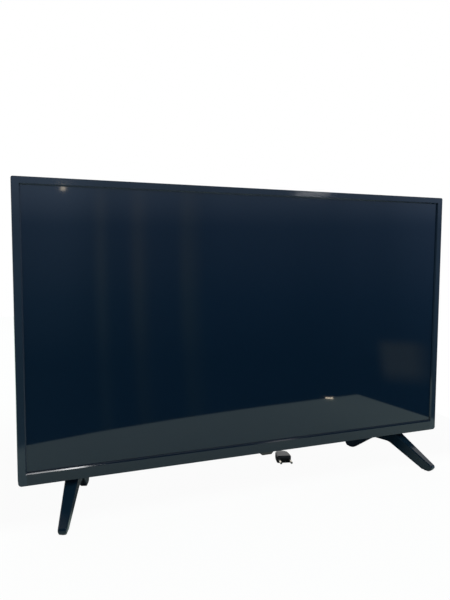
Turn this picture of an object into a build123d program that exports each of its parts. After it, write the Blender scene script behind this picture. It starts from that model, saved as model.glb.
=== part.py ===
from build123d import *
import math
import os

# Flat screen television, 32-inch class, standing on two inverted-V feet.
# Millimetres. X runs along the screen to the viewer's right, Y away from the viewer, Z up.
# The origin lies on the table, midway between the toes of the feet.
# A depth is measured backwards from the front plane of the bezel.

# Overall sizes
panel_width = 728
panel_height = 424
underside_height = 55
front_setback = 33
slab_depth = 32
hump_depth = 77
cover_wall = 2.5
fit_gap = 0.3
overrun = 2

# Front bezel
bezel_depth = 14
bezel_wall = 2
lip_thickness = 2.5
side_border = 12
top_border = 11
low_border = 19
side_bevel = 2
top_bevel = 2
low_bevel = 3
low_corner_radius = 5
top_corner_radius = 2.5
least_corner_radius = 0.4
front_edge_radius = 0.8

# Screen stack, front to back
gasket_thickness = 0.5
gasket_width = 3
cell_thickness = 1.4
cell_side_overlap = 4.5
cell_low_overlap = 8
shelf_thickness = 1.6
shelf_setback = 1
prism_thickness = 0.3
diffuser_sheet_thickness = 0.3
diffuser_plate_thickness = 1.5
reflector_thickness = 0.4
pan_thickness = 0.8
pan_cavity_depth = 18
pan_flange = 8
pocket_gap = 0.5
frame_gap = 0.4

# Light strips
strip_count = 3
strip_end_gap = 23.5
strip_width = 12
strip_thickness = 1
strip_pitch = 120
light_count = 7
light_end_gap = 43
chip_side = 3
chip_thickness = 0.8
lens_radius = 7
lens_height = 5.5
lens_edge = 2
lens_cavity_radius = 3
lens_cavity_depth = 1.5
reflector_slope = 16

# Pan beads
bead_end_gap = 48.5
bead_width = 14
bead_rise = 1.2
bead_pitch = 36
bead_height = 335

# Hump of the rear cover
hump_side_margin = 42
hump_height = 270
hump_side_slope = 30
hump_top_slope = 45
hump_edge_radius = 9
slab_edge_radius = 8
slab_inset = 0.5
hump_root_depth = 20

# Wall mount
wall_mount_width = 200
wall_mount_height = 100
wall_mount_drop = 10
wall_mount_recess = 1
standoff_radius = 5.5
standoff_bore = 2
standoff_bore_depth = 20
standoff_clearance = 0.5

# Screws and their wells
cover_screw_radius = 1.5
cover_head_radius = 3
cover_head_height = 1.6
cover_well_radius = 3.6
cover_well_depth = 1
cover_boss_radius = 4.5
cover_screw_margin = 29
cover_screw_top_half = 110
cover_screw_rises = (36, 150, 290, 395)
running_gap = 0.05

# Air slots and speaker slots
air_slot_width = 3
air_slot_length = 26
air_slot_pitch = 10
air_slot_count = 36
air_slot_drop = 23
inlet_count = 22
inlet_length = 18
inlet_rise = 30
speaker_slot_width = 2.2
speaker_slot_pitch = 6
speaker_slot_count = 14

# Boards
board_thickness = 1.6
board_stand = 8
board_stand_radius = 3
board_screw_radius = 1.2
board_head_radius = 2.6
board_head_height = 1.8
board_screw_grip = 5
board_hole_inset = 5
power_board_inner_gap = 10.5
power_board_outer_gap = 26
power_board_low = 55
power_board_height = 128
main_board_gap = 7.3
main_board_low = 52
main_board_height = 156

# Power board parts
transformer_length = 42
transformer_width = 34
transformer_back_gap = 11.6
transformer_gap = 12
bobbin_overhang = 4
core_width = 14
capacitor_radius = 11
capacitor_back_gap = 10.6
capacitor_edge = 1.5
capacitor_pitch = 28
heat_sink_width = 60
heat_sink_base = 3
heat_sink_back_gap = 9.6
heat_sink_fin = 2
heat_sink_fin_reach = 8
heat_sink_fin_count = 5

# Main board parts
processor_side = 21
processor_thickness = 1.8
processor_sink_side = 34
processor_sink_base = 3
processor_sink_height = 14
processor_sink_fin = 1.6
processor_sink_fins = 7

# Connector bay
bay_port_half = 215
bay_low = 57
bay_height = 140
port_window_low = 36.5
port_window_high = 57
port_margin = 6
port_plate_thickness = 1.2
port_plate_overlap = 2.5
socket_recess = 1
socket_depth = 14
socket_gap = 0.25

# Sockets, rises above the underside of the set
picture_rises = (180, 161)
picture_width = 15
picture_height = 6.2
picture_mouth_width = 13.9
picture_mouth_height = 4.6
picture_tongue_width = 11.5
picture_tongue_height = 1.2
mouth_depth = 10
tongue_reach = 9
data_rise = 143
data_width = 14
data_height = 6.8
data_mouth_width = 12.5
data_mouth_height = 5
data_tongue_height = 1.9
optical_rise = 128
optical_width = 9.8
optical_height = 10
optical_door_side = 7.4
optical_door_depth = 0.8
headphone_rise = 116
headphone_nose_radius = 3.4
headphone_bore = 1.8
headphone_bore_depth = 13
jack_rises = (104, 92, 80)
jack_radius = 4.1
jack_reach = 7
jack_bore = 1.6
jack_bore_depth = 9
aerial_rise = 69
aerial_radius = 4.75
aerial_reach = 8
aerial_bore = 0.6
round_body_width = 10
round_body_height = 12
round_body_depth = 12

# Flat cable
flat_cable_width = 24
flat_cable_thickness = 0.4
flat_cable_lift = 6

# Speakers
speaker_side_gap = 58
speaker_width = 116
speaker_height = 30
speaker_front_depth = 35
speaker_back_gap = 4.5
speaker_edge = 3
cone_length = 70
cone_width = 26
cone_recess = 4
cone_thickness = 3
cone_edge = 2

# Keys and receiver
window_x = 19
window_top_width = 26
window_low_width = 17
window_drop = 5
window_front_depth = 3
window_thickness = 8
window_round = 3
window_edge = 0.8
guide_width = 20
guide_rise = 5
guide_thickness = 5
guide_back_depth = 13.5
key_x = 40
key_depth = 22
key_cap_radius = 4.5
key_cap_drop = 1.2
key_cap_edge = 0.5
key_flange_radius = 6
key_flange_thickness = 1
key_stem_radius = 2
key_stem_height = 0.8
key_travel = 0.5
plunger_radius = 1.5
plunger_length = 2.4
switch_side = 6
switch_height = 3.4
switch_bore_depth = 2.4
key_board_width = 70
key_board_depth = 12
key_post_side = 5
receiver_width = 7
receiver_thickness = 5
receiver_height = 5.8

# Source board
source_board_end_gap = 48.5
source_board_depth = 13
source_board_thickness = 1
source_board_front = 11

# Feet
foot_inset = 38
foot_turn = 18
foot_top_width = 20
foot_toe_width = 10.5
foot_edge_radius = 2
foot_front_top = 17
foot_rear_margin = 8
toe_contact = 88.5
rear_toe_contact = 91
toe_overhang = 6.5
rear_toe_overhang = 4
toe_height = 9
toe_front_sole = 15.5
toe_rear_sole = 16.5
arch_height = 34.5
arch_front = 6
arch_rear_inset = 8
arch_front_radius = 22
arch_rear_radius = 17
toe_radius = 4.5
heel_radius = 4
pad_lift = 1.2
pad_length = 10
pad_width = 6
pad_corner = 2
pad_sink = 1
foot_screw_front = 11
foot_screw_rear_inset = 8
foot_screw_radius = 1.95
foot_screw_seat = 8
foot_head_radius = 3.8
foot_head_height = 2.6
foot_head_gap = 0.4
foot_screw_tip = 1.5
foot_hole_gap = 0.3

# Foot brackets
bracket_thickness = 2
bracket_inner_reach = 22
bracket_outer_reach = 9
bracket_front_depth = 16
bracket_back_margin = 11
bracket_height = 50

# Mains lead
lead_diameter = 6
gland_x = 185
gland_height = 78
gland_neck_radius = 6
gland_flange_radius = 8.5
gland_flange_thickness = 2.5
gland_inner_flange = 7.5
gland_inner_thickness = 2
gland_sleeve_root = 5.5
gland_sleeve_tip = 3.9
gland_sleeve_length = 21.5
coil_x = 140
coil_y = 191
coil_radius = 41.6
coil_half_turns = 6
coil_turn_gap = 0.7
coil_layer_gap = 0.6
tie_thickness = 1
tie_width = 9
tie_ground_gap = 0.2
tie_slack = 1
tie_corner = 3
lead_bend_share = 0.45
plug_x = 91
plug_front_y = 45
plug_turn = 15
plug_width = 26
plug_height = 13.7
plug_waist_length = 20
plug_waist_width = 23
plug_length = 35
plug_tail_width = 12
plug_tail_height = 10
plug_corner = 5
plug_tail_corner = 4
plug_sleeve_length = 18
plug_sleeve_root = 4.8
plug_sleeve_tip = 3.8
plug_lead_straight = 24
pin_radius = 2
pin_length = 19
pin_spacing = 19
pin_sink = 8
pin_edge = 1

# Derived places
panel_mid_z = underside_height + panel_height / 2
panel_top_z = underside_height + panel_height
cover_floor_z = underside_height + cover_wall
window_half = panel_width / 2 - side_border
window_low_z = underside_height + low_border
window_top_z = panel_top_z - top_border
cell_half = window_half + cell_side_overlap
cell_low_z = window_low_z - cell_low_overlap
cell_top_z = window_top_z + cell_side_overlap
cell_front = lip_thickness + gasket_thickness
cell_back = cell_front + cell_thickness
shelf_back = cell_back + shelf_thickness
prism_back = shelf_back + prism_thickness
sheet_back = prism_back + diffuser_sheet_thickness
plate_back = sheet_back + diffuser_plate_thickness
flange_front = plate_back + reflector_thickness
pan_floor = flange_front + pan_cavity_depth
pan_back = pan_floor + pan_thickness
strip_front = pan_floor - strip_thickness
cover_inside = slab_depth - cover_wall
hump_inside = hump_depth - cover_wall
board_front = pan_back + board_stand
board_back = board_front + board_thickness
power_room = hump_inside - board_back
transformer_height = power_room - transformer_back_gap
capacitor_length = power_room - capacitor_back_gap
heat_sink_height = power_room - heat_sink_back_gap
speaker_back_depth = hump_inside - speaker_back_gap
cavity_half = cell_half - pan_flange
cavity_low_z = cell_low_z + pan_flange
stack_mid_z = (cell_low_z + cell_top_z) / 2
strip_length = 2 * (cavity_half - strip_end_gap)
light_pitch = (strip_length - 2 * light_end_gap) / (light_count - 1)
bead_length = 2 * (cavity_half - bead_end_gap)
source_board_half = cavity_half - source_board_end_gap
hump_half_width = panel_width / 2 - hump_side_margin
hump_back_half = hump_half_width - hump_side_slope
hump_top_z = underside_height + hump_height
hump_back_top_z = hump_top_z - hump_top_slope
speaker_outer = hump_back_half - speaker_side_gap
foot_x = hump_half_width - foot_inset
toe_reach = toe_contact + toe_overhang
rear_toe_reach = rear_toe_contact + rear_toe_overhang
pad_reaches = (toe_contact - toe_front_sole / 2, toe_front_sole / 2 - rear_toe_contact)
foot_rear_top = hump_depth - front_setback - foot_rear_margin
foot_screw_rear = foot_rear_top - foot_screw_rear_inset
arch_rear = foot_rear_top - arch_rear_inset
bracket_back_depth = hump_depth - bracket_back_margin
strip_rows = [stack_mid_z + (row - (strip_count - 1) / 2) * strip_pitch for row in range(strip_count)]
light_places = [((column - (light_count - 1) / 2) * light_pitch, row)
                for column in range(light_count) for row in strip_rows]
bead_rows = [underside_height + bead_height + side * bead_pitch / 2 for side in (-1, 1)]


def y_at(depth):
    return depth - front_setback


def plane_at(depth):
    return Plane.XZ.offset(-y_at(depth))


def area(left, right, low, high, mode=Mode.ADD):
    with Locations(((left + right) / 2, (low + high) / 2)):
        Rectangle(right - left, high - low, mode=mode)


def block(left, right, front, back, low, high, mode=Mode.ADD):
    with Locations(((left + right) / 2, (y_at(front) + y_at(back)) / 2, (low + high) / 2)):
        Box(right - left, back - front, high - low, mode=mode)


def panel_area(inset):
    with Locations((0, panel_mid_z)):
        Rectangle(panel_width - 2 * inset, panel_height - 2 * inset)
    fillet(vertices().group_by(Axis.Y)[0], max(low_corner_radius - inset, least_corner_radius))
    fillet(vertices().group_by(Axis.Y)[-1], max(top_corner_radius - inset, least_corner_radius))


def stack_area(grow=0, mode=Mode.ADD):
    area(-cell_half - grow, cell_half + grow, cell_low_z - grow, cell_top_z + grow, mode)


def window_area(grow=0, mode=Mode.ADD):
    area(-window_half - grow, window_half + grow, window_low_z - grow, window_top_z + grow, mode)


def finish(part, name):
    part.label = name
    export_step(part, "parts/" + name + ".step")


os.makedirs("parts", exist_ok=True)

# Front bezel: a lip with a sloped inner edge and a thin wall behind it
with BuildPart() as front_bezel:
    with BuildSketch(plane_at(0)):
        panel_area(0)
    extrude(amount=-bezel_depth)
    fillet(front_bezel.faces().sort_by(Axis.Y)[0].edges(), front_edge_radius)
    with BuildSketch(plane_at(lip_thickness)):
        panel_area(bezel_wall)
    extrude(amount=lip_thickness - bezel_depth, mode=Mode.SUBTRACT)
    with BuildSketch(plane_at(0)):
        area(-window_half - side_bevel, window_half + side_bevel,
             window_low_z - low_bevel, window_top_z + top_bevel)
    with BuildSketch(plane_at(lip_thickness)):
        window_area()
    loft(mode=Mode.SUBTRACT)
    block(window_x - guide_width / 2 - fit_gap, window_x + guide_width / 2 + fit_gap,
          window_front_depth + window_edge - fit_gap,
          window_front_depth + window_edge + guide_thickness + fit_gap,
          underside_height - overrun, underside_height + bezel_wall + overrun, Mode.SUBTRACT)
finish(front_bezel.part, "front_bezel")

# Foam gasket between the lip and the cell
with BuildPart() as panel_gasket:
    with BuildSketch(plane_at(lip_thickness)):
        window_area(gasket_width)
        window_area(pocket_gap, Mode.SUBTRACT)
    extrude(amount=-gasket_thickness)
finish(panel_gasket.part, "panel_gasket")

# Liquid crystal cell
with BuildPart() as lcd_cell:
    with BuildSketch(plane_at(cell_front)):
        stack_area()
    extrude(amount=-cell_thickness)
finish(lcd_cell.part, "lcd_cell")

# Mid frame: a moulded ring whose shelf carries the cell in front and the sheets behind
frame_front = lip_thickness + frame_gap
frame_back = bezel_depth - pocket_gap
notch_half = guide_width / 2 + overrun
with BuildPart() as mid_frame:
    with BuildSketch(plane_at(frame_front)):
        panel_area(bezel_wall + frame_gap)
        window_area(shelf_setback, Mode.SUBTRACT)
    extrude(amount=frame_front - frame_back)
    with BuildSketch(plane_at(frame_front)):
        stack_area(pocket_gap)
    extrude(amount=frame_front - cell_back, mode=Mode.SUBTRACT)
    with BuildSketch(plane_at(shelf_back)):
        stack_area(pocket_gap)
    extrude(amount=shelf_back - frame_back, mode=Mode.SUBTRACT)
    block(window_x - notch_half, window_x + notch_half, 0, bezel_depth, underside_height,
          underside_height + bezel_wall + guide_rise + pocket_gap, Mode.SUBTRACT)
finish(mid_frame.part, "mid_frame")

# Prism sheet
with BuildPart() as prism_sheet:
    with BuildSketch(plane_at(shelf_back)):
        stack_area()
    extrude(amount=-prism_thickness)
finish(prism_sheet.part, "prism_sheet")

# Diffuser sheet
with BuildPart() as diffuser_sheet:
    with BuildSketch(plane_at(prism_back)):
        stack_area()
    extrude(amount=-diffuser_sheet_thickness)
finish(diffuser_sheet.part, "diffuser_sheet")

# Diffuser plate
with BuildPart() as diffuser_plate:
    with BuildSketch(plane_at(sheet_back)):
        stack_area()
    extrude(amount=-diffuser_plate_thickness)
finish(diffuser_plate.part, "diffuser_plate")

# Reflector sheet: a rim, sloped sides and a floor with a hole for each lens
slope_thickness = reflector_thickness * math.sqrt(2)
with BuildPart() as reflector_sheet:
    with BuildSketch(plane_at(plate_back)):
        stack_area()
    extrude(amount=-reflector_thickness)
    with BuildSketch(plane_at(plate_back)):
        stack_area(-pan_flange - fit_gap)
    with BuildSketch(plane_at(strip_front)):
        stack_area(-pan_flange - reflector_slope)
    loft()
    with BuildSketch(plane_at(plate_back)):
        stack_area(-pan_flange - fit_gap - slope_thickness)
    with BuildSketch(plane_at(strip_front - reflector_thickness)):
        stack_area(-pan_flange - reflector_slope - slope_thickness)
    loft(mode=Mode.SUBTRACT)
    with BuildSketch(plane_at(strip_front)):
        with Locations(*light_places):
            Circle(lens_radius + fit_gap)
    extrude(amount=reflector_thickness + overrun, both=True, mode=Mode.SUBTRACT)
finish(reflector_sheet.part, "reflector_sheet")

# Steel backlight pan: a flange, four walls and a floor with two pressed beads
cover_screw_places = [
    (side * column, underside_height + rise)
    for side in (-1, 1)
    for column in (panel_width / 2 - cover_screw_margin, cover_screw_top_half)
    for rise in cover_screw_rises
    if column != cover_screw_top_half or rise == cover_screw_rises[-1]
]
with BuildPart() as backlight_pan:
    with BuildSketch(plane_at(flange_front)):
        stack_area()
    extrude(amount=-pan_thickness)
    with BuildSketch(plane_at(flange_front)):
        stack_area(pan_thickness - pan_flange)
    extrude(amount=flange_front - pan_back)
    with BuildSketch(plane_at(pan_back)):
        with Locations(*[(0, row) for row in bead_rows]):
            SlotOverall(bead_length, bead_width)
    extrude(amount=-bead_rise)
    with BuildSketch(plane_at(flange_front)):
        stack_area(-pan_flange)
    extrude(amount=-pan_cavity_depth, mode=Mode.SUBTRACT)
    with BuildSketch(plane_at(pan_floor)):
        with Locations(*[(0, row) for row in bead_rows]):
            SlotOverall(bead_length - 2 * pan_thickness, bead_width - 2 * pan_thickness)
    extrude(amount=-bead_rise, mode=Mode.SUBTRACT)
    with BuildSketch(plane_at(pan_floor)):
        with Locations(*cover_screw_places):
            Circle(cover_screw_radius + running_gap)
    extrude(amount=pan_thickness + overrun, both=True, mode=Mode.SUBTRACT)
finish(backlight_pan.part, "backlight_pan")

# Light strips on the floor of the pan, with their chips and lenses
with BuildPart() as light_strips:
    with BuildSketch(plane_at(strip_front)):
        with Locations(*[(0, row) for row in strip_rows]):
            Rectangle(strip_length, strip_width)
    extrude(amount=-strip_thickness)
finish(light_strips.part, "light_strips")

with BuildPart() as light_chips:
    with BuildSketch(plane_at(strip_front - chip_thickness)):
        with Locations(*light_places):
            Rectangle(chip_side, chip_side)
    extrude(amount=-chip_thickness)
finish(light_chips.part, "light_chips")

with BuildPart() as light_lenses:
    with BuildSketch(plane_at(strip_front - lens_height)):
        with Locations(*light_places):
            Circle(lens_radius)
    extrude(amount=-lens_height)
    chamfer(light_lenses.faces().group_by(Axis.Y)[0].edges(), lens_edge)
    with BuildSketch(plane_at(strip_front - lens_cavity_depth)):
        with Locations(*light_places):
            Circle(lens_cavity_radius)
    extrude(amount=-lens_cavity_depth, mode=Mode.SUBTRACT)
finish(light_lenses.part, "light_lenses")

# Source board under the lower wall of the pan
source_board_top = cavity_low_z - pan_thickness - fit_gap
with BuildPart() as source_board:
    block(-source_board_half, source_board_half, source_board_front,
          source_board_front + source_board_depth, source_board_top - source_board_thickness,
          source_board_top)
finish(source_board.part, "source_board")

# Threaded standoffs of the wall mount, on the pan
standoff_top_z = hump_back_top_z - wall_mount_drop
standoff_places = [(side * wall_mount_width / 2, z) for side in (-1, 1)
                   for z in (standoff_top_z - wall_mount_height, standoff_top_z)]
standoff_end = hump_depth - wall_mount_recess
with BuildPart() as wall_mount_standoffs:
    with BuildSketch(plane_at(pan_back)):
        with Locations(*standoff_places):
            Circle(standoff_radius)
    extrude(amount=pan_back - standoff_end)
    with BuildSketch(plane_at(standoff_end)):
        with Locations(*standoff_places):
            Circle(standoff_bore)
    extrude(amount=standoff_bore_depth, mode=Mode.SUBTRACT)
finish(wall_mount_standoffs.part, "wall_mount_standoffs")

# Places of the two boards, left, right, low and high
standoff_outer = wall_mount_width / 2 + standoff_radius
power_low_z = underside_height + power_board_low
power_box = (standoff_outer + power_board_inner_gap, hump_back_half - power_board_outer_gap,
             power_low_z, power_low_z + power_board_height)
port_face_x = -bay_port_half
port_inner_x = port_face_x + cover_wall
main_left = port_inner_x + port_plate_thickness + pocket_gap
main_low_z = underside_height + main_board_low
main_box = (main_left, -standoff_outer - main_board_gap, main_low_z, main_low_z + main_board_height)


def board_corners(box):
    left, right, low, high = box
    return [(x, z) for x in (left + board_hole_inset, right - board_hole_inset)
            for z in (low + board_hole_inset, high - board_hole_inset)]


board_places = board_corners(power_box) + board_corners(main_box)

# Board standoffs
with BuildPart() as board_standoffs:
    with BuildSketch(plane_at(pan_back)):
        with Locations(*board_places):
            Circle(board_stand_radius)
    extrude(amount=-board_stand)
    with BuildSketch(plane_at(board_front)):
        with Locations(*board_places):
            Circle(board_screw_radius + running_gap)
    extrude(amount=board_screw_grip + running_gap, mode=Mode.SUBTRACT)
finish(board_standoffs.part, "board_standoffs")

# Board screws
with BuildPart() as board_screws:
    with BuildSketch(plane_at(board_front - board_screw_grip)):
        with Locations(*board_places):
            Circle(board_screw_radius)
    extrude(amount=-board_screw_grip - board_thickness - board_head_height)
    with BuildSketch(plane_at(board_back)):
        with Locations(*board_places):
            Circle(board_head_radius)
    extrude(amount=-board_head_height)
finish(board_screws.part, "board_screws")

# Power board
with BuildPart() as power_board:
    with BuildSketch(plane_at(board_front)):
        area(*power_box)
        with Locations(*board_corners(power_box)):
            Circle(board_screw_radius + running_gap, mode=Mode.SUBTRACT)
    extrude(amount=-board_thickness)
finish(power_board.part, "power_board")

# Transformer: a wound bobbin inside a square core
capacitor_x = power_box[1] - board_hole_inset - capacitor_radius - overrun
transformer_x = capacitor_x - capacitor_radius - transformer_gap - transformer_length / 2
transformer_z = (power_box[2] + power_box[3]) / 2
with BuildPart() as transformer:
    block(transformer_x - transformer_length / 2, transformer_x + transformer_length / 2,
          board_back, board_back + transformer_height,
          transformer_z - core_width / 2, transformer_z + core_width / 2)
    block(transformer_x - transformer_length / 2 + bobbin_overhang,
          transformer_x + transformer_length / 2 - bobbin_overhang,
          board_back, board_back + transformer_height - bobbin_overhang,
          transformer_z - transformer_width / 2, transformer_z + transformer_width / 2)
finish(transformer.part, "transformer")

# Two capacitors standing on the power board
with BuildPart() as capacitors:
    with BuildSketch(plane_at(board_back)):
        with Locations((capacitor_x, transformer_z)):
            with GridLocations(0, capacitor_pitch, 1, 2):
                Circle(capacitor_radius)
    extrude(amount=-capacitor_length)
    fillet(capacitors.faces().group_by(Axis.Y)[-1].edges(), capacitor_edge)
finish(capacitors.part, "capacitors")

# Finned heat sink along the top of the power board
sink_left = (power_box[0] + power_box[1] - heat_sink_width) / 2
sink_top_z = power_box[3] - board_hole_inset - board_head_radius - overrun
fin_pitch = (heat_sink_width - heat_sink_fin) / (heat_sink_fin_count - 1)
with BuildPart() as power_heat_sink:
    block(sink_left, sink_left + heat_sink_width, board_back, board_back + heat_sink_height,
          sink_top_z - heat_sink_base, sink_top_z)
    for fin in range(heat_sink_fin_count):
        fin_left = sink_left + fin * fin_pitch
        block(fin_left, fin_left + heat_sink_fin, board_back, board_back + heat_sink_height,
              sink_top_z - heat_sink_base - heat_sink_fin_reach, sink_top_z - heat_sink_base)
finish(power_heat_sink.part, "power_heat_sink")

# Main board
with BuildPart() as main_board:
    with BuildSketch(plane_at(board_front)):
        area(*main_box)
        with Locations(*board_corners(main_box)):
            Circle(board_screw_radius + running_gap, mode=Mode.SUBTRACT)
    extrude(amount=-board_thickness)
finish(main_board.part, "main_board")

# Processor and its finned heat sink
processor_x = main_box[1] - processor_sink_side / 2 - board_hole_inset - overrun
processor_z = (main_box[2] + main_box[3]) / 2
with BuildPart() as processor:
    block(processor_x - processor_side / 2, processor_x + processor_side / 2, board_back,
          board_back + processor_thickness, processor_z - processor_side / 2,
          processor_z + processor_side / 2)
finish(processor.part, "processor")

processor_sink_front = board_back + processor_thickness
processor_fin_pitch = (processor_sink_side - processor_sink_fin) / (processor_sink_fins - 1)
with BuildPart() as processor_heat_sink:
    block(processor_x - processor_sink_side / 2, processor_x + processor_sink_side / 2,
          processor_sink_front, processor_sink_front + processor_sink_base,
          processor_z - processor_sink_side / 2, processor_z + processor_sink_side / 2)
    for fin in range(processor_sink_fins):
        fin_left = processor_x - processor_sink_side / 2 + fin * processor_fin_pitch
        block(fin_left, fin_left + processor_sink_fin, processor_sink_front,
              processor_sink_front + processor_sink_height,
              processor_z - processor_sink_side / 2, processor_z + processor_sink_side / 2)
finish(processor_heat_sink.part, "processor_heat_sink")

# Sockets on the edge of the main board, their mouths facing the connector bay
socket_face_x = port_face_x + socket_recess
socket_back_x = socket_face_x + socket_depth


def flat_socket(rise, width, height):
    z = underside_height + rise
    block(socket_face_x, socket_back_x, board_back, board_back + height, z - width / 2, z + width / 2)


def flat_mouth(rise, width, height, box_height, depth):
    z = underside_height + rise
    front = board_back + (box_height - height) / 2
    block(socket_face_x, socket_face_x + depth, front, front + height, z - width / 2, z + width / 2,
          Mode.SUBTRACT)


def flat_tongue(rise, width, height, box_height):
    z = underside_height + rise
    front = board_back + (box_height - height) / 2
    block(socket_face_x + mouth_depth - tongue_reach, socket_face_x + mouth_depth, front,
          front + height, z - width / 2, z + width / 2)


def peg(left, right, rise, radius, mode=Mode.ADD):
    axis_y = y_at(board_back + round_body_height / 2)
    with Locations(((left + right) / 2, axis_y, underside_height + rise)):
        Cylinder(radius, right - left, rotation=(0, 90, 0), mode=mode)


def round_socket(rise, radius, reach, bore, bore_depth):
    z = underside_height + rise
    nose_x = port_face_x - reach
    body_x = port_inner_x + port_plate_thickness + fit_gap
    block(body_x, body_x + round_body_depth, board_back, board_back + round_body_height,
          z - round_body_width / 2, z + round_body_width / 2)
    peg(nose_x, body_x, rise, radius)
    peg(nose_x, nose_x + bore_depth, rise, bore, Mode.SUBTRACT)


with BuildPart() as picture_sockets:
    for rise in picture_rises:
        flat_socket(rise, picture_width, picture_height)
        flat_mouth(rise, picture_mouth_width, picture_mouth_height, picture_height, mouth_depth)
        flat_tongue(rise, picture_tongue_width, picture_tongue_height, picture_height)
finish(picture_sockets.part, "picture_sockets")

with BuildPart() as data_socket:
    flat_socket(data_rise, data_width, data_height)
    flat_mouth(data_rise, data_mouth_width, data_mouth_height, data_height, mouth_depth)
    flat_tongue(data_rise, picture_tongue_width, data_tongue_height, data_height)
finish(data_socket.part, "data_socket")

with BuildPart() as optical_socket:
    flat_socket(optical_rise, optical_width, optical_height)
    flat_mouth(optical_rise, optical_door_side, optical_door_side, optical_height, optical_door_depth)
finish(optical_socket.part, "optical_socket")

with BuildPart() as headphone_socket:
    round_socket(headphone_rise, headphone_nose_radius, -socket_recess, headphone_bore,
                 headphone_bore_depth)
finish(headphone_socket.part, "headphone_socket")

with BuildPart() as audio_video_jacks:
    for rise in jack_rises:
        round_socket(rise, jack_radius, jack_reach, jack_bore, jack_bore_depth)
finish(audio_video_jacks.part, "audio_video_jacks")

with BuildPart() as aerial_socket:
    round_socket(aerial_rise, aerial_radius, aerial_reach, aerial_bore, jack_bore_depth)
finish(aerial_socket.part, "aerial_socket")

# Connector bay limits, and the port plate that closes its window from inside
bay_low_z = underside_height + bay_low
bay_top_z = bay_low_z + bay_height
port_low_z = bay_low_z + port_margin
port_top_z = bay_top_z - port_margin
with BuildPart() as port_plate:
    block(port_inner_x, port_inner_x + port_plate_thickness, port_window_low - port_plate_overlap,
          port_window_high + port_plate_overlap, port_low_z - port_plate_overlap,
          port_top_z + port_plate_overlap)
    for rise, width, height in (
        (picture_rises[0], picture_width, picture_height),
        (picture_rises[1], picture_width, picture_height),
        (data_rise, data_width, data_height),
        (optical_rise, optical_width, optical_height),
    ):
        z = underside_height + rise
        block(port_inner_x - overrun, port_inner_x + port_plate_thickness + overrun,
              board_back - socket_gap, board_back + height + socket_gap,
              z - width / 2 - socket_gap, z + width / 2 + socket_gap, Mode.SUBTRACT)
    round_cuts = [(rise, jack_radius) for rise in jack_rises]
    round_cuts += [(headphone_rise, headphone_nose_radius), (aerial_rise, aerial_radius)]
    for rise, radius in round_cuts:
        peg(port_inner_x - overrun, port_inner_x + port_plate_thickness + overrun, rise,
            radius + socket_gap, Mode.SUBTRACT)
finish(port_plate.part, "port_plate")

# Flat cable from the main board to the source board, folded over the back of the pan
flat_cable_x = main_box[1] - flat_cable_width - 2 * board_hole_inset - overrun
flat_cable_low_z = source_board_top - source_board_thickness - fit_gap
with BuildPart() as flat_cable:
    with BuildSketch(Plane.YZ.offset(flat_cable_x)):
        with BuildLine():
            Polyline(
                (y_at(source_board_front + overrun), flat_cable_low_z),
                (y_at(pan_back + flat_cable_lift), flat_cable_low_z),
                (y_at(pan_back + flat_cable_lift), main_box[2] - flat_cable_lift),
                (y_at(board_back), main_box[2]),
                (y_at(board_back), main_box[2] + flat_cable_lift),
            )
            offset(amount=flat_cable_thickness, side=Side.RIGHT)
        make_face()
    extrude(amount=flat_cable_width)
finish(flat_cable.part, "flat_cable")

# Speaker boxes with their cones, facing down through the slots of the cover
speaker_low_z = cover_floor_z + fit_gap
speaker_mid_depth = (speaker_front_depth + speaker_back_depth) / 2


def speaker_mid_x(side):
    return side * (speaker_outer - speaker_width / 2)


def cone_area(x, shrink=0):
    with Locations((x, y_at(speaker_mid_depth))):
        SlotOverall(cone_length - 2 * shrink, cone_width - 2 * shrink)


for side, name in ((-1, "speaker_box_left"), (1, "speaker_box_right")):
    with BuildPart() as speaker_box:
        block(speaker_mid_x(side) - speaker_width / 2, speaker_mid_x(side) + speaker_width / 2,
              speaker_front_depth, speaker_back_depth, speaker_low_z, speaker_low_z + speaker_height)
        fillet(speaker_box.edges().filter_by(Axis.Z), speaker_edge)
        with BuildSketch(Plane.XY.offset(speaker_low_z)):
            cone_area(speaker_mid_x(side))
        extrude(amount=cone_recess, mode=Mode.SUBTRACT)
    finish(speaker_box.part, name)

with BuildPart() as speaker_cones:
    for side in (-1, 1):
        with BuildSketch(Plane.XY.offset(speaker_low_z + cone_recess - cone_thickness)):
            cone_area(speaker_mid_x(side), fit_gap)
        extrude(amount=cone_thickness)
    chamfer(speaker_cones.faces().group_by(Axis.Z)[0].edges(), cone_edge)
finish(speaker_cones.part, "speaker_cones")

# Power button, its plunger and switch, hanging under the key board
flange_low_z = cover_floor_z + fit_gap
stem_low_z = flange_low_z + key_flange_thickness
plunger_low_z = stem_low_z + key_stem_height
switch_low_z = plunger_low_z + key_travel + running_gap
key_board_low_z = switch_low_z + switch_height
key_place = (key_x, y_at(key_depth))
with BuildPart() as power_button:
    with BuildSketch(Plane.XY.offset(underside_height - key_cap_drop)):
        with Locations(key_place):
            Circle(key_cap_radius)
    extrude(amount=key_cap_drop + flange_low_z - underside_height)
    fillet(power_button.faces().sort_by(Axis.Z)[0].edges(), key_cap_edge)
    with BuildSketch(Plane.XY.offset(flange_low_z)):
        with Locations(key_place):
            Circle(key_flange_radius)
    extrude(amount=key_flange_thickness)
    with BuildSketch(Plane.XY.offset(stem_low_z)):
        with Locations(key_place):
            Circle(key_stem_radius)
    extrude(amount=key_stem_height)
finish(power_button.part, "power_button")

with BuildPart() as switch_plunger:
    with BuildSketch(Plane.XY.offset(plunger_low_z)):
        with Locations(key_place):
            Circle(plunger_radius)
    extrude(amount=plunger_length)
finish(switch_plunger.part, "switch_plunger")

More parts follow.
